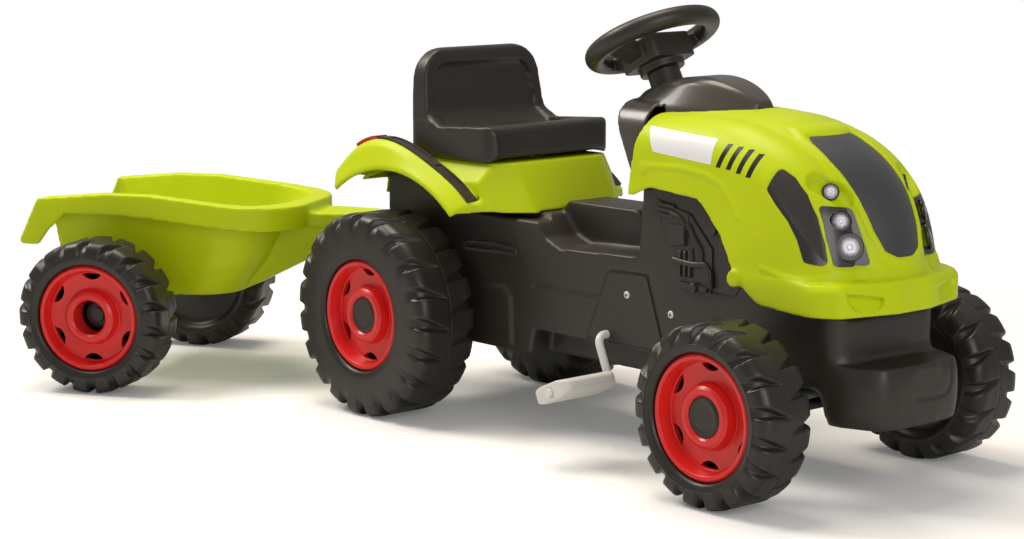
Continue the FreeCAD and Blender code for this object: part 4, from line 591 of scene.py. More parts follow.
# %% [markdown]
# Four mouldings are then worked further. The deck's front panel is blown, so its folds are broad, and each
# fender's end flows into it. The bumper's ledge is only a swelling of the bonnet's flank. The block under the
# nose has large upright corners, and its top keeps its height. Easing also fills the pocket under the horn
# button a little, so the pocket is pressed deeper again, and the button keeps its travel.

# %% Broad folds and corners
def right_hand(piece):
    """The skin's points in the tractor's millimetres, with the left half folded onto the right."""
    points = own_millimetres(skin_points(piece)[0])
    points[:, 1] = -abs(points[:, 1])
    return points


deck = right_hand(mouldings["rear_deck"])
panel = falloff(abs(deck[:, 2] - 303), 22, 30) * falloff(60 - deck[:, 0], 0, 30)
panel *= falloff(-deck[:, 1], 100, 118)
end = falloff(np.linalg.norm(deck - np.array([142, -126, 278]), axis=1), 16, 40)
softened(mouldings["rear_deck"], np.maximum(panel, end), 45)
hood = right_hand(mouldings["bonnet"])
drawn_in = np.interp(hood[:, 0], [584, 602, 625, 650, 672, 700], [0.0, 7.0, 7.6, 7.2, 5.0, 0.0])
flank = np.where(hood[:, 1] < -92, falloff(hood[:, 2], 242, 249), 0.0)
push(mouldings["bonnet"], flank * drawn_in, (0, 1.0, 0))
hood = right_hand(mouldings["bonnet"])
ledge = falloff(abs(hood[:, 2] - 246), 14, 34) * falloff(600 - hood[:, 0], 0, 24)
softened(mouldings["bonnet"], ledge * falloff(hood[:, 0], 664, 700), 160, "y")
softened(mouldings["bonnet"], ledge, 24)
base = right_hand(mouldings["chassis"])
block, nose = [np.hypot(base[:, 0] - x, base[:, 1] - y) for x, y in ((756, -66), (704, -88))]
corners = falloff(np.minimum(block, nose), 24, 50) * falloff(base[:, 2], 158, 166)
softened(mouldings["chassis"], corners, 300, "xy")


def deepen_horn_pocket(wheel):
    """Presses the pocket's floor down the column, and widens the guide of the button's stem."""
    column = joint_at["steering_turn"]
    down = -np.array(column["axis"])
    away = (skin_points(wheel)[0] - np.array(column["pos_m"])) * 1000
    depth = away @ down
    off = np.linalg.norm(away - np.outer(depth, down), axis=1)
    level = falloff(abs(depth - 15), 6.0, 7.0)
    push(wheel, falloff(off, 19.4, 20.6) * level, 3.0 * down)
    press(wheel, falloff(off, 8.5, 10.0) * level * -1.2)


deepen_horn_pocket(mouldings["steering_wheel"])
print("softened the deck, the bonnet and the chassis, and deepened the horn's pocket")

# %% [markdown]
# The other pieces are turned, stamped or flat, and keep the faces they were drawn with. Only the heads of the
# seat's bolts are coned at their rim, because the chassis above them has grown rounder inside.

# %% Turned and thin pieces
# The trailer axle takes the dark bezel finish, so that its end in the hub reads as a dark hole: painted
# shade.
own_finish = {"side_vent": vent_fold_painted_light, "lamp_panel": panel_finish, "trailer_axle": bezel}
made_below = ("headlamp_lenses", "chassis_screws")
BOLTS_X = (30, 110)
BOLT_HEAD_TOP = 323
plain = [n for n in frame["nodes"] if n not in softness and "tyre" not in n and n not in made_below]
for node in plain:
    stands_for(crisp(node), node, own_finish.get(node.rsplit("_", 1)[0], own_finish.get(node)))
bolts = bpy.data.objects["seat_bolts_skin"]
places = own_millimetres(skin_points(bolts)[0])
off = np.minimum(*[np.hypot(places[:, 0] - x, places[:, 1]) for x in BOLTS_X])
push(bolts, ((off > 7) & (abs(places[:, 2] - BOLT_HEAD_TOP) < 1)) * 1.0, (0, 0, -1.8))
print("shaded pieces:", len(plain), "with coned heads on the seat bolts")

# %% [markdown]
# ## Wheels
# The wheels are blown in two-part moulds: a thin raised seam runs round the middle of the tread, and chunky
# bars lean away from it on both sides, set half a step apart. A tyre follows a rule, so it is made by one.
# A section is spun into a ring in Python. Each point also carries a lift, the way from the groove's floor to
# the top of a bar. A Geometry Nodes tree works out from the angle and the side whether the point is on a
# bar, and moves it by that share of its lift.

# %% The tread tree
def new_tree(name, numbers, finish_names):
    """A Geometry Nodes tree for a geometry, some numbers and some finishes, and its named inputs."""
    tree = bpy.data.node_groups.new(name, "GeometryNodeTree")
    kinds = {"Geometry": "Geometry"}
    kinds.update({number: "Float" for number in numbers})
    kinds.update({finish: "Material" for finish in finish_names})
    for socket, kind in kinds.items():
        tree.interface.new_socket(socket, in_out="INPUT", socket_type="NodeSocket" + kind)
    tree.interface.new_socket("Geometry", in_out="OUTPUT", socket_type="NodeSocketGeometry")
    graph = Graph(tree)
    given = tree.nodes.new("NodeGroupInput")
    return graph, {item.name: Reading(graph, item) for item in given.outputs if item.name}


def closed_tree(graph, geometry):
    """Ends a tree by handing out a geometry."""
    result = graph.tree.nodes.new("NodeGroupOutput")
    graph.tree.links.new(geometry.socket, result.inputs[0])
    return graph.tree


def tread_tree():
    numbers = ("Bars", "Half width", "Lean", "Bar at the seam", "Bar at the side", "Softness")
    graph, entry = new_tree("tread bars", numbers, ["Finish"])
    place = graph.add("GeometryNodeInputPosition")
    x, y, z = [graph.part(place, way) for way in "XYZ"]
    turn = x.sum("ARCTAN2", x, z) / (2 * math.pi) * entry["Bars"]
    out = abs(y) / entry["Half width"]
    half_step = y.sum("GREATER_THAN", y, 0.0) * 0.5
    lean = (out * 2 - 1) * entry["Lean"]
    apart = abs((turn + 100.5 - half_step - lean).fraction() - 0.5)
    wide = entry["Bar at the seam"] + out * (entry["Bar at the side"] - entry["Bar at the seam"])
    edge = graph.add("ShaderNodeMapRange", {"interpolation_type": "SMOOTHSTEP"}, {
        "Value": apart, "From Min": wide - entry["Softness"], "From Max": wide + entry["Softness"],
        "To Min": 1.0, "To Max": 0.0,
    })
    lift = graph.add("GeometryNodeInputNamedAttribute", {"data_type": "FLOAT_VECTOR"}, {"Name": "lift"})
    offset = graph.add("ShaderNodeVectorMath", {"operation": "SCALE"}, {0: lift, "Scale": edge})
    raised = graph.add("GeometryNodeSetPosition", {}, {"Geometry": entry["Geometry"], "Offset": offset})
    real = graph.add("GeometryNodeRealizeInstances", {}, {"Geometry": raised})
    done = graph.add("GeometryNodeSetMaterial", {}, {"Geometry": real, "Material": entry["Finish"]})
    return closed_tree(graph, done)


def set_inputs(modifier, **values):
    """Sets a tree's inputs by their sockets' identifiers."""
    sockets = modifier.node_group.interface.items_tree
    keys = {item.name: item.identifier for item in sockets if item.in_out == "INPUT"}
    for name, value in values.items():
        modifier[keys[name.replace("_", " ")]] = value


TREAD = tread_tree()
print("tread tree:", len(TREAD.nodes), "nodes")

# %% [markdown]
# The section is a closed path of corners, in millimetres from the axle and from the tyre's middle. Each row
# also says how far a bar lifts that corner outward and sideways. Cutting the corners twice rounds the path as
# a mould would, and the lifts are rounded with it.

# %% The tyre's section
def rounded_path(points, rounds):
    """Cuts the corners of a closed path a few times, which rounds them."""
    for _ in range(rounds):
        following = np.roll(points, -1, axis=0)
        points = np.stack([0.75 * points + 0.25 * following, 0.25 * points + 0.75 * following], axis=1)
        points = points.reshape(-1, points.shape[-1])
    return points


def tyre_section(radius, width, bead=71.0, bar=6.0, wall=6.0, hub=23.0, bore=6.2):
    """Rows of radius and side for the groove's floor, then the same for the top of the bars."""
    h = width / 2
    base = radius - bar
    web = -h + 2 * wall
    seam = radius - 0.6
    rows = [
        (bore, -h + 3), (bore + 2, -h + 1), (hub - 2, -h + 1), (hub + 1, -h + 3), (hub + 5, web - 1),
        (bead - 16, web), (bead - 3, web), (bead + 4, -h + 1), (bead + 12, -h),
        (base - 18, -h, 1), (base - 9, -h + 4, 6, -3), (base - 4, -h + 9, 8, -2), (base - 1, -h + 15, 7.5),
        (base, -h + 24, bar), (base, -5, bar), (base + 1, -2.4, bar - 1), (seam, -1.2, 0.2),
        (seam, 1.2, 0.2), (base + 1, 2.4, bar - 1), (base, 5, bar), (base, h - 24, bar),
        (base - 1, h - 15, 7.5), (base - 4, h - 9, 8, 2), (base - 9, h - 4, 6, 3), (base - 18, h, 1),
        (bead + 12, h), (bead + 4, h - 1.5), (bead + 0.4, h - 5), (bead + 0.4, h - 12),
        (base - 20, h - 14), (base - 12, h - 20), (base - 12, -h + 20), (base - 20, -h + 14),
        (bead + 2, web + 6), (hub + 4, web + 6), (hub - 3, web + 9), (hub - 3, h - 43), (hub - 5, h - 40),
        (bore + 2, h - 40), (bore, h - 42),
    ]
    filled = [row + (0,) * (4 - len(row)) for row in rows]
    return rounded_path(np.array(filled), 2) / 1000


STEPS_PER_BAR = 24


def spun_ring(name, section, steps):
    """A ring about Y from a section, with each point's lift kept as an attribute."""
    count = len(section)
    angles = np.arange(steps) * 2 * math.pi / steps
    turn = np.stack([np.sin(angles), np.cos(angles)], axis=1)
    points = np.zeros((steps, count, 3))
    lifts = np.zeros((steps, count, 3))
    points[:, :, 0] = turn[:, :1] * section[:, 0]
    points[:, :, 1] = section[:, 1]
    points[:, :, 2] = turn[:, 1:] * section[:, 0]
    lifts[:, :, 0] = turn[:, :1] * section[:, 2]
    lifts[:, :, 1] = section[:, 3]
    lifts[:, :, 2] = turn[:, 1:] * section[:, 2]
    index = np.arange(steps * count).reshape(steps, count)
    ahead = np.roll(index, -1, axis=0)
    corners = [index, np.roll(index, -1, axis=1), np.roll(ahead, -1, axis=1), ahead]
    faces = np.stack(corners, axis=2).reshape(-1, 4)
    mesh = bpy.data.meshes.new(name)
    mesh.from_pydata(points.reshape(-1, 3).tolist(), [], faces.tolist())
    mesh.attributes.new("lift", "FLOAT_VECTOR", "POINT").data.foreach_set("vector", lifts.reshape(-1))
    with opened(mesh) as work:
        bmesh.ops.recalc_face_normals(work, faces=work.faces)
    mesh.shade_smooth()
    return shown(name, mesh)


def tyre(node, joint, radius, width, bars):
    piece = spun_ring(node + "_body", tyre_section(radius, width), bars * STEPS_PER_BAR)
    modifier = piece.modifiers.new("tread", "NODES")
    modifier.node_group = TREAD
    set_inputs(modifier, Bars=float(bars), Half_width=width / 2000, Lean=0.17, Bar_at_the_seam=0.52,
               Bar_at_the_side=0.29, Softness=0.06, Finish=finishes["tyre_plastic"])
    settled(piece)
    piece.data.attributes.remove(piece.data.attributes["lift"])
    across = Vector(joint_at[joint]["axis"])
    low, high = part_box(node)
    middle = (Vector(low) + Vector(high)) / 2
    turn = Matrix.Rotation(math.atan2(-across.x, across.y), 4, "Z")
    flip = Matrix.Rotation(math.pi, 4, "Z") if "right" in node else Matrix.Identity(4)
    piece.data.transform(Matrix.Translation(middle) @ turn @ flip)
    return stands_for(piece, node)


print("tyre helpers ready")

# %% [markdown]
# Two sizes serve all six wheels: large ones behind, and small ones in front and on the trailer. The packed
# model gives each tyre's middle and the way that its axle points.

# %% Six tyres
sizes = {"front": (103.0, 79.0, 18), "rear": (131.0, 94.0, 20), "trailer": (103.0, 79.0, 18)}
for name, (radius, width, bars) in sizes.items():
    for side in ("right", "left"):
        joint = name + "_wheel_" + side + "_spin"
        if joint not in joint_at:
            joint = "drive_spin"
        piece = tyre(name + "_tyre_" + side, joint, radius, width, bars)
        print(piece.name, len(piece.data.polygons), "faces")

# %% [markdown]
# ## The bonnet's relief
# The bonnet is one glossy shell. Besides its main form it has a soft crease along each flank, a half-round
# grip pocket low on each front corner and a small round boss behind each label. They are only a millimetre or
# a few deep, so they are pressed into the eased shell: each point of the skin moves along its normal by a
# share that falls off with its distance from the crease's line or the pocket's outline.

# %% Press the relief into the skin
def bonnet_relief(piece):
    places, normals = skin_points(piece)
    points = right_hand(piece)
    outer = np.where(normals[:, 1] * np.sign(places[:, 1] - axle.y) > -0.2, 1.0, 0.0)
    front = np.where(normals[:, 0] > 0.1, 1.0, 0.0)
    crease = [(428, -104, 353), (478, -105, 355), (519, -107, 351), (543, -108, 343), (563, -110, 324),
              (574, -111, 308)]
    depths = falloff(from_line(points, crease), 0.5, 6.0) * 1.3
    depths += falloff(np.linalg.norm(points - np.array([417, -104, 350]), axis=1), 5.0, 9.0) * 1.4
    depths *= outer
    lip = [(612, -113, 256), (640, -112, 250), (668, -109, 248), (690, -96, 252)]
    depths += falloff(from_line(points, lip), 0.5, 6.0) * outer * 1.2
    rim = [(0, 266), (-14, 266), (-32, 275), (-41, 298), (-45, 324), (-48, 350), (-49, 373), (-46, 393),
           (-39, 401), (0, 403)]
    edge = from_line(points[:, 1:], rim)
    return depths + falloff(edge, 1.0, 6.0) * front * 2.2


def grip_pocket(points):
    """The half-round pocket: deepest under its straight top edge, and running out at its foot."""
    along = (points[:, 1] + 94) / 48
    top = 238 - 8 * along
    foot = 215 - along
    down = np.clip((top - points[:, 2]) / (top - foot), 0, 1)
    turns = [math.pi * i / 12 for i in range(13)]
    outline = [(-70.5 - 24.5 * math.cos(t), 235 + 4 * math.cos(t) - 22 * math.sin(t)) for t in turns]
    return inside(points[:, 1:], outline, 2.5) * (1 - down) * (points[:, 0] > 670)


def front_forms(piece):
    """Presses the swelling over each pocket, the pocket, and the hollow round each top lamp."""
    points = right_hand(piece)
    swelling = falloff(from_line(points, [(697, -86, 250), (708, -58, 248)]), 5.0, 20.0)
    push(piece, swelling, (2.4, -1.4, 1.2))
    push(piece, grip_pocket(points), (-10.0, 6.0, 0))
    hollow = falloff(from_line(points, [(660, -75, 352), (680, -57, 335)]), 8.0, 16.0)
    push(piece, hollow, (-4.8, 2.9, -3.2))


press(mouldings["bonnet"], bonnet_relief(mouldings["bonnet"]))
front_forms(mouldings["bonnet"])
print("relief pressed into", len(mouldings["bonnet"].data.vertices), "points")

# %% [markdown]
# ## The chassis' relief
# The blown chassis has a few shallow lines that stiffen its flat sides: a panel line ahead of the rear wheel,
# a sunk rib above it, a flat pad behind the wheel and a half-round outline on the front block.

# %% Press the lines into the chassis
def chassis_relief(piece):
    normals = skin_points(piece)[1]
    points = right_hand(piece)
    side = np.where((points[:, 1] < -82) & (abs(normals[:, 1]) > 0.6), 1.0, 0.0)
    flat = points[:, [0, 2]]
    depths = falloff(from_line(flat, [(214, 184), (330, 188.6)]), 0.6, 3.4) * side * -1.8
    cover = [(310, 134), (347, 218), (410, 220), (440, 134)]
    depths -= falloff(from_line(flat, cover), 0.8, 3.4) * side * 2.2
    rib = [(80, 229), (137, 233), (184, 231), (186, 219), (130, 217), (80, 215)]
    depths -= inside(flat, rib, 5.0) * side * 3.4
    pad = [(60, 173), (160, 181), (175, 168), (178, 104), (60, 94)]
    depths += inside(flat, pad, 6.0) * side * 2.6
    ahead = np.where((normals[:, 0] > 0.8) & (points[:, 0] > 745), 1.0, 0.0)
    own = own_millimetres(skin_points(piece)[0])[:, 1:]
    outline = [(-18, 119), (22, 116), (38, 119), (45, 130), (46, 150)]
    return depths - falloff(from_line(own, outline), 0.6, 3.8) * ahead * 1.6


press(mouldings["chassis"], chassis_relief(mouldings["chassis"]))
for node, piece in mouldings.items():
    stands_for(piece, node, cowl_painted_reflection if node == "cowl" else None)
print("lines pressed into", len(mouldings["chassis"].data.vertices), "points")

# %% [markdown]
# ## Stickers on the flanks
# Each flank carries a plain white sticker and four slanting black marks. A sticker is a thin patch that
# follows the skin: a grid of points between its four corners is sent sideways onto the bonnet, and stays a
# fifth of a millimetre outside it.

# %% Patches laid on the skin
def skin_finder(piece):
    work = bmesh.new()
    work.from_mesh(piece.data)
    finder = BVHTree.FromBMesh(work)
    work.free()
    return finder


def patch(name, finder, corners, side, columns, rows, proud=0.2):
    """A grid between four corners, given clockwise from the rear top, laid on the skin from one side."""
    a, b, c, d = [np.array(corner, float) for corner in corners]
    points = []
    for j in range(rows + 1):
        for i in range(columns + 1):
            u, v = i / columns, j / rows
            x, _, z = (a * (1 - u) + b * u) * (1 - v) + (d * (1 - u) + c * u) * v
            start = spot(x, side * 300, z)
            hit, normal, _, _ = finder.ray_cast(start, Vector((0, -side, 0)))
            points.append(hit + normal * proud / 1000)
    faces = []
    for j in range(rows):
        for i in range(columns):
            k = j * (columns + 1) + i
            face = (k, k + 1, k + columns + 2, k + columns + 1)
            faces.append(face if side > 0 else face[::-1])
    mesh = bpy.data.meshes.new(name)
    mesh.from_pydata(points, [], faces)
    mesh.shade_smooth()
    return shown(name, mesh)


flank = skin_finder(mouldings["bonnet"])
LABEL = [(417, 0, 398), (529, 0, 392), (527, 0, 363), (432, 0, 370)]
MARKS = [((550, 388), (538, 361)), ((565, 386), (554, 360)), ((580, 384), (570, 357)),
         ((594, 380), (585, 354))]
HALF_MARK = 3.5
for side, word in SIDES:
    rides(patch("label_" + word, flank, LABEL, side, 28, 8), "bonnet", sticker_white)
    for number, ((top_x, top_z), (foot_x, foot_z)) in enumerate(MARKS):
        corners = [(top_x - HALF_MARK, 0, top_z), (top_x + HALF_MARK, 0, top_z),
                   (foot_x + HALF_MARK, 0, foot_z), (foot_x - HALF_MARK, 0, foot_z)]
        mark = patch("mark_%s_%d" % (word, number + 1), flank, corners, side, 4, 10)
        rides(mark, "bonnet", sticker_black)
print("stickers laid on both flanks")

# %% [markdown]
# ## Headlamps
# Three lamps sit in each front corner. A real one is a dark bezel, a bright bowl and a clear domed cover.
# All three are turned shapes, so each is spun from a short section about the lamp's own axis, which looks
# ahead and outward. The top lamp sits deeper, in a hollow of the bonnet's skin.

# %% Spin the lamps
def ring_faces(rows, steps):
    """The faces between rows of points, each of which closes into a ring."""
    faces = []
    for row in range(rows - 1):
        for i in range(steps):
            k, n = row * steps + i, row * steps + (i + 1) % steps
            faces.append((k, n, n + steps, k + steps))
    return faces


def spun(section, axis_point, axis, steps=40):
    """Points and faces of a section, given as radius and height, spun about an axis."""
    turn = axis.to_track_quat("Z", "Y").to_matrix()
    points = []
    for radius, height in section:
        for i in range(steps):
            angle = 2 * math.pi * i / steps
            local = Vector((radius * math.cos(angle), radius * math.sin(angle), height)) / 1000
            points.append(axis_point + turn @ local)
    return points, ring_faces(len(section), steps)


def built(name, parts, corner=40.0):
    """One mesh from lists of points and faces, shaded smooth up to a corner of that many degrees."""
    points, faces = [], []
    for more, sides in parts:
        faces += [tuple(k + len(points) for k in face) for face in sides]
        points += [Vector(point) for point in more]
    mesh = bpy.data.meshes.new(name)
    mesh.from_pydata(points, [], faces)
    with opened(mesh) as work:
        bmesh.ops.remove_doubles(work, verts=work.verts, dist=1e-6)
        bmesh.ops.recalc_face_normals(work, faces=work.faces)
    mesh.shade_smooth()
    mesh.set_sharp_from_angle(angle=math.radians(corner))
    return shown(name, mesh)


def lamp_sections(r, rim):
    """The bezel's, the bowl's and the cover's sections for a lamp of that radius and bezel."""
    inner = r * 0.84
    bezel_rows = [(inner + 0.4, -3.2), (rim, -1.6), (rim, -0.2), (rim - 0.5, 0.5), (r * 0.95, 1.2),
                  (r * 0.86, 1.0), (inner, -0.6), (inner, -3.2), (inner + 0.4, -3.2)]
    bowl_rows = [(r * 0.85, 0.4), (r * 0.72, -0.1), (r * 0.5, -0.5), (r * 0.3, -0.7), (r * 0.3, -0.2),
                 (r * 0.22, 0.2), (r * 0.1, 0.4), (0, 0.45)]
    cover_rows = [(inner, 0.3), (inner, 0.8), (r * 0.6, 1.6), (r * 0.3, 2.1), (0, 2.25)]
    return bezel_rows, bowl_rows, cover_rows


# Each lamp's place across and up, its radius, how far it is sunk and its bezel's share of the radius
LAMPS = ((68, 344, 9.5, 6.0, 1.03), (72, 313, 10.0, 0.8, 1.24), (68, 285, 13.0, -0.6, 1.24))
lens_finder = skin_finder(frame["nodes"]["headlamp_lenses"])
bezels, bowls, covers = [], [], []
for side, _ in SIDES:
    axis = Vector((0.76, side * 0.58, 0.26)).normalized()
    for y, z, radius, sunk, share in LAMPS:
        hit = lens_finder.ray_cast(spot(1200, side * y, z), Vector((-1, 0, 0)))[0]
        seat = hit - axis * sunk / 1000
        for made, section in zip((bezels, bowls, covers), lamp_sections(radius, radius * share)):
            made.append(spun(section, seat, axis))
stands_for(built("lamp_covers", covers), "headlamp_lenses")
rides(built("lamp_bezels", bezels), "headlamp_lenses", bezel)
rides(built("lamp_bowls", bowls), "headlamp_lenses", reflector)
print("lamps:", len(covers))

# %% [markdown]
# ## The engine's relief
# The panel under the bonnet shows half an engine in low relief. A moulder would cut it into the tool as a few
# plates and pipes, so it is drawn the same way: slabs with sloping sides, and hoses swept along short paths,
# all a few millimetres proud of the panel.

# %% Slabs and hoses
def slab(outline, side, foot, top, slope=1.2):
    """A flat plate on the panel, from its outline in X and Z, with its upper edge drawn in."""
    flat = np.array(outline, float)
    middle = flat.mean(axis=0)
    reach = np.linalg.norm(flat - middle, axis=1, keepdims=True)
    drawn = middle + (flat - middle) * (1 - slope / reach)
    count = len(flat)
    rings = [(flat, foot), (flat, top - slope), (drawn, top)]
    points = [spot(x, side * y, z) for ring, y in rings for x, z in ring]
    caps = [tuple(range(count))[::-1], tuple(range(2 * count, 3 * count))]
    return points, caps + ring_faces(len(rings), count)


def hose(path, side, depth, radius, steps=12):
    """A round hose along a path of X and Z at one depth, with closed ends."""
    line = np.array(path, float)
    for _ in range(3):
        inner = np.stack([0.75 * line[:-1] + 0.25 * line[1:], 0.25 * line[:-1] + 0.75 * line[1:]], axis=1)
        line = np.vstack([line[:1], inner.reshape(-1, 2), line[-1:]])
    ahead = np.gradient(line, axis=0)
    ahead /= np.linalg.norm(ahead, axis=1, keepdims=True)
    points = []
    for (x, z), (dx, dz) in zip(line, ahead):
        for i in range(steps):
            turn = 2 * math.pi * i / steps
            out = radius * math.cos(turn)
            points.append(spot(x - dz * out, side * (depth + radius * math.sin(turn)), z + dx * out))
    last = (len(line) - 1) * steps
    caps = [tuple(range(steps))[::-1], tuple(range(last, last + steps))]
    return points, ring_faces(len(line), steps) + caps


PLATE = [(428, 314), (463, 216), (516, 213), (518, 264), (482, 302), (446, 309)]
BLOCK = [(448, 287), (477, 288), (477, 264), (453, 262)]
HOSES = [([(480, 290), (491, 272), (501, 262), (501, 246)], 3.6), ([(485, 262), (487, 244)], 2.8),
         ([(457, 246), (493, 243), (506, 247), (515, 239), (516, 219)], 4.0),
         ([(452, 300), (470, 296), (478, 282)], 3.0)]
FINS = [[(432, z), (457, z - 2), (457, z + 1), (432, z + 3)] for z in (296, 302, 308)]
RIBS = [[(x, 258), (x + 4, 258), (x + 4, 228), (x, 228)] for x in (466, 474, 482)]
SUMP = [(466, 222), (512, 220), (512, 214), (466, 215)]
CAP = [(0, 0), (6, 0), (6, 3), (5, 4), (0, 4)]
for side, word in SIDES:
    parts = [slab(PLATE, side, 90.5, 92.2), slab(BLOCK, side, 92, 97.0, 2.0)]
    parts += [slab(fin, side, 92, 94.6) for fin in FINS]
    parts += [slab(rib, side, 92, 95.0) for rib in RIBS]
    parts += [slab(SUMP, side, 92, 95.5)]
    parts += [hose(path, side, 92.5, radius) for path, radius in HOSES]
    parts += [spun(CAP, spot(492, side * 95, 217), Vector((0, side, 0)))]
    piece = built("engine_relief_" + word, parts)
    rides(piece, "engine_panel_" + word, finishes[slot_of["engine_panel_" + word]])
    print(piece.name, len(piece.data.polygons), "faces")

# %% [markdown]
# ## Screws
# Four coated screws hold the crank covers. All heads are alike, so a Geometry Nodes tree makes one head, a
# low dome with a cross in it, and sets it on each of the four points that the imported screws give. The cross
# is painted dark: painted shade, where a real head has its recess.

# %% Screw heads
def screw_tree():
    graph, entry = new_tree("screw heads", ("Radius", "Rise", "Slot"), ("Finish", "Slot finish"))
    tree = graph.tree
    ball = graph.add("GeometryNodeMeshUVSphere", {}, {
        "Segments": 28, "Rings": 14, "Radius": entry["Radius"],
    })
    flat = graph.add("ShaderNodeCombineXYZ", {}, {0: 1.0, 1: 1.0, 2: entry["Rise"] / entry["Radius"]})
    dome = graph.add("GeometryNodeTransform", {}, {"Geometry": ball, "Scale": flat})
    low = entry["Rise"] * 2.06
    joined = tree.nodes.new("GeometryNodeJoinGeometry")
    for wide, deep in ((entry["Radius"] * 1.1, entry["Slot"]), (entry["Slot"], entry["Radius"] * 1.1)):
        size = graph.add("ShaderNodeCombineXYZ", {}, {0: wide, 1: deep, 2: low})
        bar = graph.add("GeometryNodeMeshCube", {}, {"Size": size})
        tree.links.new(bar.socket, joined.inputs[0])
    marked = graph.add("GeometryNodeStoreNamedAttribute", {"data_type": "BOOLEAN", "domain": "FACE"}, {
        "Geometry": Reading(graph, joined.outputs[0]), "Name": "cross", "Value": True,
    })
    head = tree.nodes.new("GeometryNodeJoinGeometry")
    for item in (dome, marked):
        tree.links.new(item.socket, head.inputs[0])
    facing = graph.add("GeometryNodeInputNamedAttribute", {"data_type": "FLOAT_VECTOR"}, {"Name": "facing"})
    turn = graph.add("FunctionNodeAlignRotationToVector", {"axis": "Z"}, {"Vector": facing})
    set_out = graph.add("GeometryNodeInstanceOnPoints", {}, {
        "Points": entry["Geometry"], "Instance": Reading(graph, head.outputs[0]), "Rotation": turn,
    })
    real = graph.add("GeometryNodeRealizeInstances", {}, {"Geometry": set_out})
    coated = graph.add("GeometryNodeSetMaterial", {}, {"Geometry": real, "Material": entry["Finish"]})
    # The cross gets a dark finish as painted shade of a recess.
    cross = graph.add("GeometryNodeInputNamedAttribute", {"data_type": "BOOLEAN"}, {"Name": "cross"})
    done = graph.add("GeometryNodeSetMaterial", {}, {
        "Geometry": coated, "Selection": cross, "Material": entry["Slot finish"],
    })
    return closed_tree(graph, done)


def islands(node):
    """The middle and the half size of each separate solid in a node, in the order of their places."""
    work = bmesh.new()
    work.from_mesh(frame["nodes"][node].data)
    bmesh.ops.remove_doubles(work, verts=work.verts, dist=2e-5)
    left, found = set(work.verts), []
    while left:
        group, edge = set(), [left.pop()]
        while edge:
            corner = edge.pop()
            group.add(corner)
            near = [link.other_vert(corner) for link in corner.link_edges]
            edge += [other for other in near if other in left]
            left.difference_update(near)
        places = np.array([corner.co[:] for corner in group])
        found.append(((places.min(0) + places.max(0)) / 2, (places.max(0) - places.min(0)) / 2))
    work.free()
    return sorted(found, key=lambda solid: tuple(solid[0]))


HEAD_RISE = 0.0016
HEAD_SLOT = 0.0011
heads = islands("chassis_screws")
sides = [math.copysign(1.0, middle[1] - axle.y) for middle, _ in heads]
radius = float(heads[0][1][0])
seats = [(m[0], m[1] + side * (h[1] - HEAD_RISE), m[2]) for (m, h), side in zip(heads, sides)]
points = bpy.data.meshes.new("screws")
points.from_pydata(seats, [], [])
facing = [value for side in sides for value in (0.0, side, 0.0)]
points.attributes.new("facing", "FLOAT_VECTOR", "POINT").data.foreach_set("vector", facing)
screws = shown("screws", points)
modifier = screws.modifiers.new("heads", "NODES")
modifier.node_group = screw_tree()
set_inputs(modifier, Radius=radius, Rise=HEAD_RISE, Slot=HEAD_SLOT, Finish=finishes["white_steel"],
           Slot_finish=bezel)
settled(screws)
for name in ("facing", "cross"):
    if name in screws.data.attributes:
        screws.data.attributes.remove(screws.data.attributes[name])
screws.data.shade_smooth()
screws.data.set_sharp_from_angle(angle=math.radians(40))
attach(screws, body_of["chassis_screws"])
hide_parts("chassis_screws")
print("screws:", len(heads), "faces", len(screws.data.polygons))

# %% [markdown]
# ## Floor and light
# The photograph was taken in a white studio: broad light from above and from the left, a weak fill from the
# right, and a floor that stays white except where the tractor shades it. The floor is lit like anything else
# near the tractor, and glows evenly white for the camera further out, so that no horizon shows.

# %% Stage
def looked_at(graph):
    """1 where the camera sees a place itself or through a clear cover, 0 where it only lights something."""
    rays = graph.tree.nodes.new("ShaderNodeLightPath")
    direct = Reading(graph, rays.outputs["Is Camera Ray"])
    share = direct + Reading(graph, rays.outputs["Is Transmission Ray"])
    return share.sum("MINIMUM", share, 1.0)


def floor_finish():
    material = bpy.data.materials.new("studio_floor")
    material.use_nodes = True
    tree = material.node_tree
    tree.nodes.remove(tree.nodes["Principled BSDF"])
    graph = Graph(tree)
    place = graph.add("ShaderNodeTexCoord", out="Object")
    away = graph.add("ShaderNodeVectorMath", {"operation": "LENGTH"}, {0: place}, out="Value")
    matt = graph.add("ShaderNodeBsdfDiffuse", {}, {"Color": (1.0, 0.985, 0.965, 1)})
    glow = graph.add("ShaderNodeEmission", {}, {"Color": (1, 1, 1, 1), "Strength": 0.1})
    near = graph.add("ShaderNodeAddShader", {}, {0: matt, 1: glow})
    white = graph.add("ShaderNodeEmission", {}, {"Color": (1, 1, 1, 1), "Strength": 1.0})
    seen = graph.add("ShaderNodeMixShader", {}, {0: away.ramp(0.75, 1.5), 1: near, 2: white})
    bounce = graph.add("ShaderNodeBsdfDiffuse", {}, {"Color": (0.72, 0.72, 0.72, 1)})
    final = graph.add("ShaderNodeMixShader", {}, {0: looked_at(graph), 1: bounce, 2: seen})
    tree.links.new(final.socket, tree.nodes["Material Output"].inputs["Surface"])
    return material


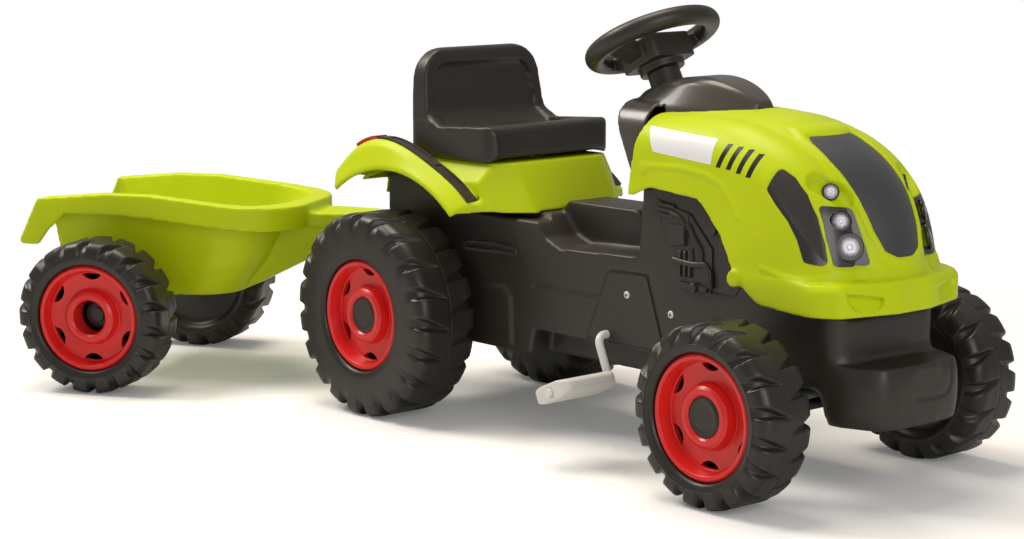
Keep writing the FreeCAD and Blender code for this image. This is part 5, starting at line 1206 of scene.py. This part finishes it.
floor_mesh = bpy.data.meshes.new("floor")
floor_mesh.from_pydata([(-20, -20, 0), (20, -20, 0), (20, 20, 0), (-20, 20, 0)], [], [(0, 1, 2, 3)])
floor_mesh.materials.append(floor_finish())
floor = shown("floor", floor_mesh)
floor.location.z = -0.0004
floor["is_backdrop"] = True


def studio_world():
    world = bpy.data.worlds.new("studio")
    world.use_nodes = True
    tree = world.node_tree
    tree.nodes.clear()
    graph = Graph(tree)
    strength = 0.3 + looked_at(graph) * 0.7
    sky = graph.add("ShaderNodeBackground", {}, {"Color": (1, 1, 1, 1), "Strength": strength})
    output = tree.nodes.new("ShaderNodeOutputWorld")
    tree.links.new(sky.socket, output.inputs["Surface"])
    return world


scene.world = studio_world()
sideways = Vector((math.cos(CAMERA_AZIMUTH), math.sin(CAMERA_AZIMUTH), 0))
forward = Vector((math.sin(CAMERA_AZIMUTH), -math.cos(CAMERA_AZIMUTH), 0))


def softbox(name, right, ahead, height, size, watts, tint, aim=(100, 0, 200)):
    """A square lamp placed from the camera's side: to its right, toward it, and up, in metres."""
    lamp = bpy.data.objects.new(name, bpy.data.lights.new(name, "AREA"))
    lamp.data.shape = "SQUARE"
    lamp.data.size = size
    lamp.data.energy = watts
    lamp.data.color = tint
    target = spot(*aim)
    lamp.location = target + sideways * right + forward * ahead + Vector((0, 0, height))
    lamp.rotation_euler = (target - lamp.location).to_track_quat("-Z", "Y").to_euler()
    scene.collection.objects.link(lamp)
    return lamp


softbox("key_lamp", -1.9, -0.5, 2.1, 1.0, 46, (1.0, 0.94, 0.86))
softbox("top_lamp", -0.3, -0.4, 2.6, 1.4, 44, (1.0, 0.89, 0.74))
softbox("fill_lamp", 0.9, 2.4, 0.9, 1.4, 18, (1.0, 0.99, 0.97))
print("stage set")

# %% [markdown]
# ## Sizes
# The last cell puts the drawn box and the dressed box side by side, and prints the dressed box's size.

# %% Sizes and finish
low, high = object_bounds()
sizes = {"cad": [list(cad_low), list(cad_high)], "visual": [list(low), list(high)]}
print("dressed box", [round(v, 3) for v in high - low])
